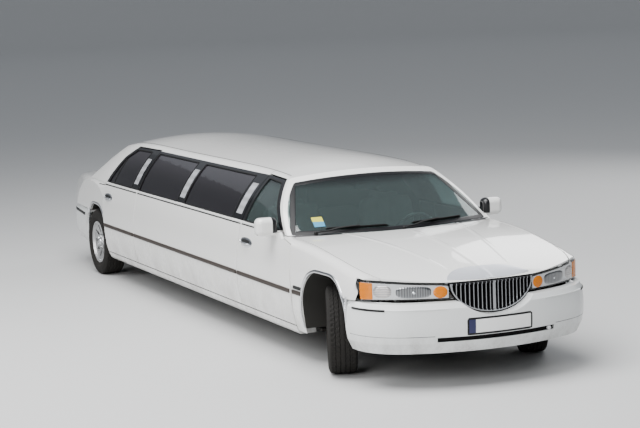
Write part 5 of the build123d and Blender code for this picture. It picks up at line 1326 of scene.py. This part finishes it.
@dataclass
class RoofAndScreens:
    """Roof seams, the windscreen's border, its wipers, the cowl's slats and the cabin mirror."""

    seam_y: float = 0.598
    screen_foot: tuple = (-0.572, -0.772)
    screen_half: float = 0.790
    band_low: tuple = (-0.592, -0.824, 0.845)
    band_high: tuple = (-1.232, -1.278, 0.648)

    def build(self) -> None:
        """Makes everything on the roof and the screens."""
        self.seams()
        self.border()
        self.wipers()
        self.cowl()
        self.mirror()
        self.sticker()

    def top_run(self, name: str, node: str, corners: Array, section: Array, finish: Finish,
                body: str = "root", closed: bool = False, proud: float = 0.0, step: float = 0.03,
                taper: float = 0.0) -> None:
        """A strip along a line in x and y, seen from above.

        Args:
            name: the piece's name.
            node: CAD node that carries it.
            corners: points in x and y.
            section: section of the strip.
            finish: its finish.
            body: body that it rides on.
            closed: whether it is a loop.
            proud: distance off the skin.
            step: distance between points.
            taper: share of its length over which each end narrows.
        """
        line = spaced(corners, step)
        line = line[:-1] if closed else line
        base, normal = Skin((node,), Look.TOP).lay(line, proud)
        piece(name, sweep(base, normal, section, closed=closed, taper=taper), finish, body)

    def seams(self) -> None:
        """Seam along each side of the roof, and a short join above each front door's rear edge."""
        section = strip_profile(0.007, 0.0016, power=0.5)
        for sign, side in SIDES:
            line = np.array([[station(-1.43), sign * (self.seam_y - 0.004)],
                             [station(-5.45), sign * self.seam_y]])
            self.top_run(f"{side}_roof_seam", "roof_panel", line, section, SEAM_SHADOW)
            join_line = np.array([[station(-1.752), sign * 0.602], [station(-1.752), sign * 0.640]])
            self.top_run(f"{side}_rail_join", "roof_panel", join_line, strip_profile(0.004, 0.0012),
                         SEAM_SHADOW, step=0.006)

    def screen_edge(self, row: tuple, share: Array) -> Array:
        """Edge of the screen in plan: x falls from its middle to its side with the square of y."""
        y = row[2] * share
        return np.stack([station(row[0]) + (row[1] - row[0]) * share**2, y], -1)

    def foot_row(self, shift: float) -> tuple:
        """The screen's foot, moved along x by a shift: x at its middle and its side, and its half width."""
        middle, side = self.screen_foot
        return middle + shift, side + shift, self.screen_half

    def border(self) -> None:
        """Dark band printed round the edge of the windscreen."""
        share = np.linspace(-1.0, 1.0, 25)
        low, high = self.screen_edge(self.band_low, share), self.screen_edge(self.band_high, share[::-1])
        loop = np.concatenate([low, high, low[:1]])
        band = strip_profile(0.046, 0.0016, foot=0.0005, power=0.25, count=9)
        self.top_run("screen_border", "windshield", loop, band, SCREEN_BAND, closed=True, step=0.03)

    def wipers(self) -> None:
        """Two wipers parked along the foot of the windscreen: a blade on the glass and an arm over it."""
        blade = np.array([[-0.005, 0.0], [-0.005, 0.014], [-0.002, 0.018], [0.002, 0.018],
                          [0.005, 0.014], [0.005, 0.0]])
        arm = np.array([[-0.007, 0.0], [-0.006, 0.007], [0.006, 0.007], [0.007, 0.0]])
        skin = Skin(("windshield",), Look.TOP)
        for name, start, end in (("left", 0.10, 0.60), ("right", -0.60, -0.10)):
            share = np.linspace(start / self.screen_half, end / self.screen_half, 24)
            line = self.screen_edge(self.foot_row(-0.052), share)
            base, normal = skin.lay(line, 0.002)
            piece(f"{name}_wiper_blade", sweep(base, normal, blade, taper=0.05), WIPER_BLACK, "root")
            pivot = self.screen_edge(self.foot_row(0.03),
                                     np.array([(start - 0.10) / self.screen_half]))[0]
            middle = line[12]
            reach = spaced(np.array([pivot, (pivot + middle) / 2.0 + np.array([-0.004, 0.0]), middle]),
                           0.02)
            foot, up = skin.lay(reach, 0.0)
            lift = np.interp(np.linspace(0, 1, len(reach)), [0.0, 0.12, 0.5, 1.0],
                             [0.010, 0.020, 0.028, 0.020])
            piece(f"{name}_wiper_arm", sweep(foot + up * lift[:, None], up, arm), WIPER_BLACK, "root")
            hub = np.array([[-0.012, 0.0], [-0.012, 0.016], [0.010, 0.015], [0.017, 0.009], [0.018, 0.0]])
            piece(f"{name}_wiper_pivot", lathe(hub, Place(tuple(foot[0] + up[0] * 0.012), tuple(up[0])),
                                               24), WIPER_BLACK, "root")

    def cowl(self) -> None:
        """Dark slats below the windscreen, behind the hood."""
        slat = strip_profile(0.010, 0.004, power=0.4)
        shapes = []
        for number in range(3):
            share = np.linspace(-0.97, 0.97, 40)
            line = self.screen_edge((-0.500 - 0.016 * number, -0.700 - 0.016 * number,
                                     self.screen_half), share)
            base, normal = Skin(("roof_panel", "windshield"), Look.TOP).lay(line, 0.0)
            shapes.append(sweep(base, normal, slat))
        piece("cowl_slats", join(*shapes), BLACK_GRID, "root")

    def mirror(self) -> None:
        """Cabin mirror hung behind the windscreen."""
        housing = pillow((station(-1.235), 0.0, 1.272), (0.018, 0.115, 0.030), tilt=0.25, square=0.5,
                         rows=20, columns=40)
        piece("cabin_mirror", housing, WIPER_BLACK, "root")

    def sticker(self) -> None:
        """Plain two-colour square low on the right of the windscreen."""
        share, rise = np.meshgrid(np.linspace(0.0, 1.0, 7), np.linspace(0.0, 1.0, 9), indexing="ij")
        x = station(-0.795) - 0.105 * rise + 0.028 * share
        y = -0.668 + 0.082 * share + 0.012 * rise
        piece("screen_sticker", patch(Skin(("windshield",), Look.TOP), x, y, 0.0012, 0.0014),
              STICKER_TWO, "root")


@dataclass
class HoodDress:
    """Creases of the hood, its centre ridge and the bright cap over the grille."""

    nose_x: float = 2.844
    nose_radius: float = 1.300
    cap_half: float = 0.335
    cap_rim: float = 0.014
    cap_depth: float = 0.185
    cap_set_back: float = 0.038
    cap_crown: float = 0.003
    rib_height: float = 0.007
    rib_half: float = 0.013

    def build(self) -> None:
        """Makes the ridges and the cap on the hood's body."""
        skin = Skin(("hood",), Look.TOP)
        ridge = strip_profile(0.044, 0.0026, power=1.8, count=15)
        line = eased(spaced(np.array([[station(-0.60), 0.500], [station(0.05), 0.372],
                                      [station(0.43), 0.304], [station(0.70), 0.255]]), 0.03), 6)
        base, normal = skin.lay(line)
        crease = sweep(base, normal, ridge, taper=0.12)
        for sign, side in SIDES:
            piece(f"{side}_hood_crease", on_side(crease, sign), HOOD_WHITE, "hood", crease=60.0)
        line = spaced(np.array([[station(-0.42), 0.0], [station(0.735), 0.0]]), 0.03)
        base, normal = skin.lay(line)
        piece("hood_centre_ridge",
              sweep(base, normal, strip_profile(0.060, 0.0022, power=1.8, count=15), taper=0.1),
              HOOD_WHITE, "hood", crease=60.0)
        across, back = np.meshgrid(np.linspace(-1.0, 1.0, 41), np.linspace(0.0, 1.0, 15), indexing="ij")
        y = across * self.cap_half
        width = self.cap_rim + self.cap_depth * (1.0 - np.abs(across)**3)
        x = self.nose_x + np.sqrt(self.nose_radius**2 - y**2) - self.cap_set_back - back * width
        rib = self.rib_height * np.exp(-((y / self.rib_half) ** 2)) * (1.0 - back)
        relief = rib + self.cap_crown * np.sin(back * math.pi)
        piece("hood_cap", patch(skin, x, y, 0.004, 0.007, relief), CAP_METAL, "hood")


@dataclass
class FrontEnd:
    """Headlamp faces on their lenses, bumper strips, the slot's sheet and lamp, and the blank plate."""

    lamp_low: float = 0.662
    lamp_top: tuple = ((0.30, 0.742), (0.40, 0.754), (0.60, 0.766), (0.80, 0.780), (0.91, 0.790))
    plate: tuple = (0.0, 0.459, 0.26, 0.0565)
    plate_band: float = 0.058

    def build(self) -> None:
        """Makes all of the front end."""
        self.lamps()
        self.plate_and_frame()
        self.strips()
        self.slot()

    def lamp_patch(self, start: float, end: float, margin: float, proud: float) -> Shape:
        """Sheet on the lamp's lens between two widths, from its foot to its sloping top."""
        across, rise = np.meshgrid(np.linspace(0.0, 1.0, 41), np.linspace(0.0, 1.0, 13), indexing="ij")
        y = start + (end - start) * across
        table = np.array(self.lamp_top)
        top = np.interp(y, table[:, 0], table[:, 1]) - margin
        low = self.lamp_low + margin
        return patch(Skin(("headlamps",), Look.END), y, low + (top - low) * rise, proud, 0.003)

    def lamps(self) -> None:
        """Bright bezel, oval main bowl, clear and amber parts and the round amber lamp, on the CAD lens."""
        skin = Skin(("headlamps",), Look.END)
        parts = (("bezel", self.lamp_patch(0.345, 0.897, 0.0, 0.0006), BEZEL),
                 ("main_bowl", boss(skin, (0.580, 0.711), (0.118, 0.043), 0.0042, square=0.62,
                                    dome=14.0), REFLECTOR),
                                    ("main_bulb", boss(skin, (0.580, 0.708), (0.017, 0.015), 0.0065,
                                                       dome=2.0), MIRROR_GLASS),
                                                       ("clear_part",
                                                        boss(skin, (0.776, 0.718), (0.056, 0.047),
                                                             0.0042, square=0.8, dome=9.0), CLEAR_PART),
                                                             ("amber_part",
                                                              self.lamp_patch(0.834, 0.902, 0.002,
                                                                              0.0040), AMBER),
                                                                              ("inner_amber",
                                                                               boss(skin,
                                                                                    (0.402, 0.706),
                                                                                    (0.052, 0.045),
                                                                                    0.0085, dome=3.0),
                                                                                    AMBER))
        for name, shape, finish in parts:
            for sign, side in SIDES:
                piece(f"{side}_lamp_{name}", on_side(shape, sign), finish, "root")

    def plate_and_frame(self) -> None:
        """Blank plate with a blue band at its right-hand end, in a thin dark frame, bent with the bumper."""
        skin = Skin(("front_bumper",), Look.END)
        middle_y, middle_z, half_y, half_z = self.plate
        split = -half_y + self.plate_band
        for name, start, end, finish in (("front_plate", split, half_y, PLATE_WHITE),
                                         ("front_plate_band", -half_y, split, PLATE_BLUE)):
            y, z = np.meshgrid(np.linspace(start, end, 33) + middle_y,
                               np.linspace(-half_z, half_z, 9) + middle_z, indexing="ij")
            piece(name, patch(skin, y, z, 0.0002, 0.003), finish, "root")
        loop = spaced(np.array([[-half_y, -half_z], [half_y, -half_z], [half_y, half_z],
                                [-half_y, half_z], [-half_y, -half_z]]) +
                                np.array([middle_y, middle_z]), 0.02)[:-1]
        base, normal = skin.lay(loop)
        piece("front_plate_frame", sweep(base, normal, strip_profile(0.016, 0.0005, power=0.3),
                                         closed=True), WIPER_BLACK, "root")

    def around(self, node: str, facing: float, height: float, start: float, turn_y: float,
               end_x: float) -> tuple:
        """Level line round a bumper's corner, found from the end and then from the side.

        Args:
            node: the bumper.
            facing: 1 at the front, -1 at the rear.
            height: z of the line.
            start: y where it starts.
            turn_y: y where the side view takes over.
            end_x: x where it ends.

        Returns:
            Points and outward vectors, level.
        """
        y = np.linspace(start, turn_y, 40)
        x = Skin((node,), Look.END, facing).filled(np.stack([y, np.full_like(y, height)], -1))
        side_x = np.linspace(x[-1] - facing * 0.012, end_x, 24)
        side_y = Skin((node,)).filled(np.stack([side_x, np.full_like(side_x, height)], -1))
        flat = np.stack([np.concatenate([x, side_x]), np.concatenate([y, side_y])], -1)
        flat = eased(spaced(flat, 0.02), 3)
        points = np.column_stack([flat, np.full(len(flat), height)])
        tangent = unit(np.gradient(points, axis=0))
        outward = unit(np.cross(np.array([0.0, 0.0, 1.0]), tangent)) * -facing
        return points, outward

    def strips(self) -> None:
        """Short dark strip round each front corner, and a long one on each half of the rear bumper."""
        section = strip_profile(0.016, 0.0065, power=0.4)
        points, outward = self.around("front_bumper", 1.0, 0.596, 0.812, 0.860, station(0.512))
        shape = sweep(points, outward, section)
        for sign, side in SIDES:
            piece(f"{side}_bumper_strip", on_side(shape, sign), WIPER_BLACK, "root")
        ledge = sweep(*self.around("front_bumper", 1.0, 0.598, 0.40, 0.740, station(0.700)),
                      strip_profile(0.012, 0.004))
        # dark line along the bumper's lower crease: painted shade in the crease
        crease = sweep(*self.around("front_bumper", 1.0, 0.402, 0.498, 0.860, station(0.470)),
                       strip_profile(0.004, 0.001))
        for sign, side in SIDES:
            piece(f"{side}_bumper_ledge", on_side(ledge, sign), BUMPER_WHITE, "root")
            piece(f"{side}_bumper_crease_shade", on_side(crease, sign), SEAM_SHADOW, "root")
        points, outward = self.around("rear_bumper", -1.0, 0.585, 0.04, 0.74, -3.30)
        shape = sweep(points, outward, strip_profile(0.030, 0.0065, power=0.4))
        for sign, side in SIDES:
            piece(f"{side}_rear_bumper_strip", on_side(shape, sign), WIPER_BLACK, "root")

    def slot(self) -> None:
        """Dark sheet behind the bumper's slot, painted shade in the opening, and the small lamp at its left
        end.
        """
        y, z = np.meshgrid(np.linspace(-0.474, 0.474, 41), np.linspace(0.3575, 0.3905, 5), indexing="ij")
        reach = Skin(("front_bumper",), Look.END).filled(np.stack([y.ravel(), np.full(y.size, 0.402)],
                                                                  -1))
        front = np.stack([reach.reshape(y.shape) - 0.020, y, z], -1)
        # dark sheet: painted shade inside the slot
        piece("slot_shade_sheet", slab(front, front - np.array([0.004, 0.0, 0.0])), SLOT_SHADE, "root")
        lens = np.array([[0.0, 0.0], [0.0, 0.015], [0.018, 0.015], [0.023, 0.010], [0.024, 0.0]])
        spot = (float(front[38, 2, 0]) + 0.004, float(y[38, 2]), 0.374)
        piece("slot_lamp", lathe(lens, Place(spot, (1.0, 0.25, 0.0)), 28), LAMP_WHITE, "root")


@dataclass
class RearEnd:
    """Tail lamp frames and clear parts, the lid's strip and lock, reflectors and the filler door's seam."""

    def build(self) -> None:
        """Makes all of the rear end."""
        tail = Skin(("tail_lamps",), Look.END, -1.0)
        y, z = np.meshgrid(np.linspace(0.492, 0.560, 13), np.linspace(0.684, 0.742, 11), indexing="ij")
        clear = patch(tail, y, z, 0.0015, 0.003)
        loop = spaced(np.array([[0.490, 0.678], [0.694, 0.678], [0.694, 0.832], [0.490, 0.832],
                                [0.490, 0.678]]), 0.012)
        base, normal = tail.lay(loop[:-1])
        rim = sweep(base, normal, strip_profile(0.007, 0.003), closed=True)
        bumper = Skin(("rear_bumper",), Look.END, -1.0)
        reflector = boss(bumper, (0.52, 0.455), (0.070, 0.018), 0.003, square=0.35, dome=8.0)
        for sign, side in SIDES:
            piece(f"{side}_reversing_lamp", on_side(clear, sign), LAMP_WHITE, "root")
            piece(f"{side}_tail_lamp_rim", on_side(rim, sign), CHROME, "root")
            piece(f"{side}_rear_reflector", on_side(reflector, sign), RED_LENS, "root")
        lid = Skin(("trunk_lid",), Look.END, -1.0)
        line = spaced(np.array([[-0.36, 0.792], [0.36, 0.792]]), 0.03)
        base, normal = lid.lay(line)
        piece("lid_strip", sweep(base, normal, strip_profile(0.026, 0.008, power=0.5), taper=0.02),
              CHROME, "trunk_lid")
        piece("lid_lock", boss(lid, (0.0, 0.752), (0.013, 0.013), 0.005, dome=4.0, steps=24), CHROME,
              "trunk_lid")
        skin = Skin(("quarter_panels",))
        edge = np.array([[-3.21, 0.790], [-3.37, 0.790], [-3.37, 0.905], [-3.21, 0.905], [-3.21, 0.790]])
        loop = eased(spaced(edge, 0.01)[:-1], 3, closed=True)
        base, normal = skin.lay(loop)
        piece("filler_door_seam", sweep(base, normal, strip_profile(0.004, 0.0008), closed=True), SEAM_SHADOW,
              "root")


# Cabin


@dataclass
class Cabin:
    """Front seats, rear bench and side bench: crowned cushions with sewn channels on plain bases."""

    def cushion(self, name: str, shape: Shape, finish: Finish = LEATHER, stands_for: str = "") -> None:
        obj = piece(name, shape, finish, "root", crease=60.0)
        if stands_for:
            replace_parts(obj, stands_for)

    def build(self) -> None:
        """Makes the seats."""
        for sign, side in SIDES:
            y = sign * 0.44
            stand = "front_seats" if sign > 0 else ""
            self.cushion(f"{side}_seat_cushion", pillow((1.700, y, 0.492), (0.205, 0.250, 0.080),
                                                        tilt=0.06, ribs=5, sag=0.012), stands_for=stand)
            self.cushion(f"{side}_seat_back", pillow((1.392, y, 0.820), (0.068, 0.245, 0.280),
                                                     tilt=-0.20, ribs=5))
            self.cushion(f"{side}_headrest", pillow((1.322, y, 1.078), (0.042, 0.125, 0.050),
                                                    tilt=-0.15, rows=24, columns=40))
            base = pillow((1.690, y, 0.345), (0.190, 0.220, 0.072), square=0.12, rows=16, columns=32)
            piece(f"{side}_seat_base", base, PLASTIC, "root")
        self.cushion("rear_bench_cushion", pillow((-2.312, 0.0, 0.628), (0.172, 0.590, 0.076),
                                                  tilt=0.05, ribs=9, sag=0.01, columns=128),
                                                  stands_for="lounge_seats")
        self.cushion("rear_bench_back", pillow((-2.560, 0.0, 0.895), (0.062, 0.590, 0.218), tilt=-0.12,
                                               ribs=9, columns=128))
        self.cushion("side_bench_cushion", pillow((-0.620, -0.540, 0.560), (1.310, 0.195, 0.078),
                                                  ribs=12, rib_axis=0, sag=0.01, columns=192))
        self.cushion("side_bench_back", pillow((-0.620, -0.732, 0.800), (1.310, 0.034, 0.195), ribs=12,
                                               rib_axis=0, columns=192))
        for name, centre, half in (("rear_bench_base", (-2.320, 0.0, 0.535), (0.165, 0.590, 0.030)),
                                   ("side_bench_base", (-0.620, -0.545, 0.375), (1.300, 0.185, 0.100))):
            piece(name, pillow(centre, half, square=0.12, rows=16, columns=64), PLASTIC, "root")


# Studio


@dataclass
class Studio:
    """Pale floor that curves up all round, soft lights, and the camera of the photograph."""

    camera_place: tuple = (16.4900, -6.557, 3.036)
    yaw: float = math.radians(157.13)
    pitch: float = math.radians(-7.12)
    roll: float = math.radians(-2.22)
    focal: float = 1938.0
    image: tuple = (640, 428)
    film: float = 36.0
    floor_radius: float = 70.0
    cove: float = 20.0
    wall_top: float = 30.0

    def build(self) -> None:
        """Makes the stage, the lights and the camera."""
        self.stage()
        self.lights()
        self.camera()

    def stage(self) -> None:
        """Floor and wall as one bowl: level, then a quarter circle up, then upright, turned round Z."""
        turn = np.linspace(0.0, math.pi / 2.0, 16)
        curve = np.stack([self.floor_radius + self.cove * np.sin(turn),
                          self.cove - self.cove * np.cos(turn)], -1)
        profile = np.concatenate([[[0.0, 0.0]], curve, [[self.floor_radius + self.cove, self.wall_top]]])
        around = np.linspace(0.0, 2.0 * math.pi, 96, endpoint=False)
        grid = np.stack([profile[:, :1] * np.cos(around), profile[:, :1] * np.sin(around),
                         np.broadcast_to(profile[:, 1:], (len(profile), len(around)))], -1)
        mesh = bpy.data.meshes.new("studio_floor")
        mesh.from_pydata(grid.reshape(-1, 3).tolist(), [],
                         quads(len(profile), len(around), close_columns=True))
        mesh.polygons.foreach_set("use_smooth", np.ones(len(mesh.polygons), bool))
        obj = bpy.data.objects.new("studio_floor", mesh)
        bpy.context.scene.collection.objects.link(obj)
        mesh.materials.append(FLOOR_PALE.material())

    def lights(self) -> None:
        """A broad soft light above, three lower ones round the car, and a pale surround."""
        for name, place, aim, size, power in (("high", (3.0, -3.0, 9.0), (0.5, 0.0, 0.5), 9.0, 2100.0),
                                              ("near", (11.0, -9.0, 5.5), (2.5, 0.0, 0.6), 6.0, 1000.0),
                                              ("far", (-6.0, 9.0, 6.5), (0.0, 0.0, 0.6), 7.0, 420.0),
                                              ("side", (-4.0, -10.0, 5.0), (-1.5, 0.0, 0.6), 6.0, 320.0)):
            lamp = bpy.data.lights.new(name + "_light", "AREA")
            lamp.shape = "DISK"
            lamp.size = size
            lamp.energy = power
            obj = bpy.data.objects.new(name + "_light", lamp)
            bpy.context.scene.collection.objects.link(obj)
            obj.location = place
            obj.rotation_euler = (Vector(aim) - Vector(place)).to_track_quat("-Z", "Y").to_euler()
        world = bpy.data.worlds.new("studio_air")
        world.use_nodes = True
        world.node_tree.nodes["Background"].inputs[0].default_value = (0.80, 0.85, 0.92, 1.0)
        world.node_tree.nodes["Background"].inputs[1].default_value = 0.5
        bpy.context.scene.world = world

    def camera(self) -> None:
        """Camera at the photograph's place: yaw, pitch and roll turn it, and focal sets its lens."""
        ahead = np.array([math.cos(self.pitch) * math.cos(self.yaw),
                          math.cos(self.pitch) * math.sin(self.yaw), math.sin(self.pitch)])
        right = unit(np.cross(ahead, np.array([0.0, 0.0, 1.0])))
        above = np.cross(right, ahead)
        across = math.cos(self.roll) * right + math.sin(self.roll) * above
        up = -math.sin(self.roll) * right + math.cos(self.roll) * above
        data = bpy.data.cameras.new("photo_camera")
        data.sensor_fit = "HORIZONTAL"
        data.sensor_width = self.film
        data.lens = self.focal * self.film / self.image[0]
        data.clip_end = 200.0
        obj = bpy.data.objects.new("photo_camera", data)
        bpy.context.scene.collection.objects.link(obj)
        turn = Matrix(np.stack([across, up, -ahead], -1).tolist())
        obj.matrix_world = Matrix.Translation(self.camera_place) @ turn.to_4x4()
        bpy.context.scene.camera = obj


def main() -> None:
    """Builds the car's pieces in order, then the studio."""
    logging.basicConfig(level=logging.INFO, format="%(name)s: %(message)s")
    dress_nodes()
    for assembly in (RunningGear(), SideTrim(), RoofAndScreens(), HoodDress(), FrontEnd(), RearEnd(),
                     Cabin(), Studio()):
        assembly.build()
        LOG.info("%s built", type(assembly).__name__)
    bpy.context.view_layer.update()


if __name__ == "__main__":
    main()
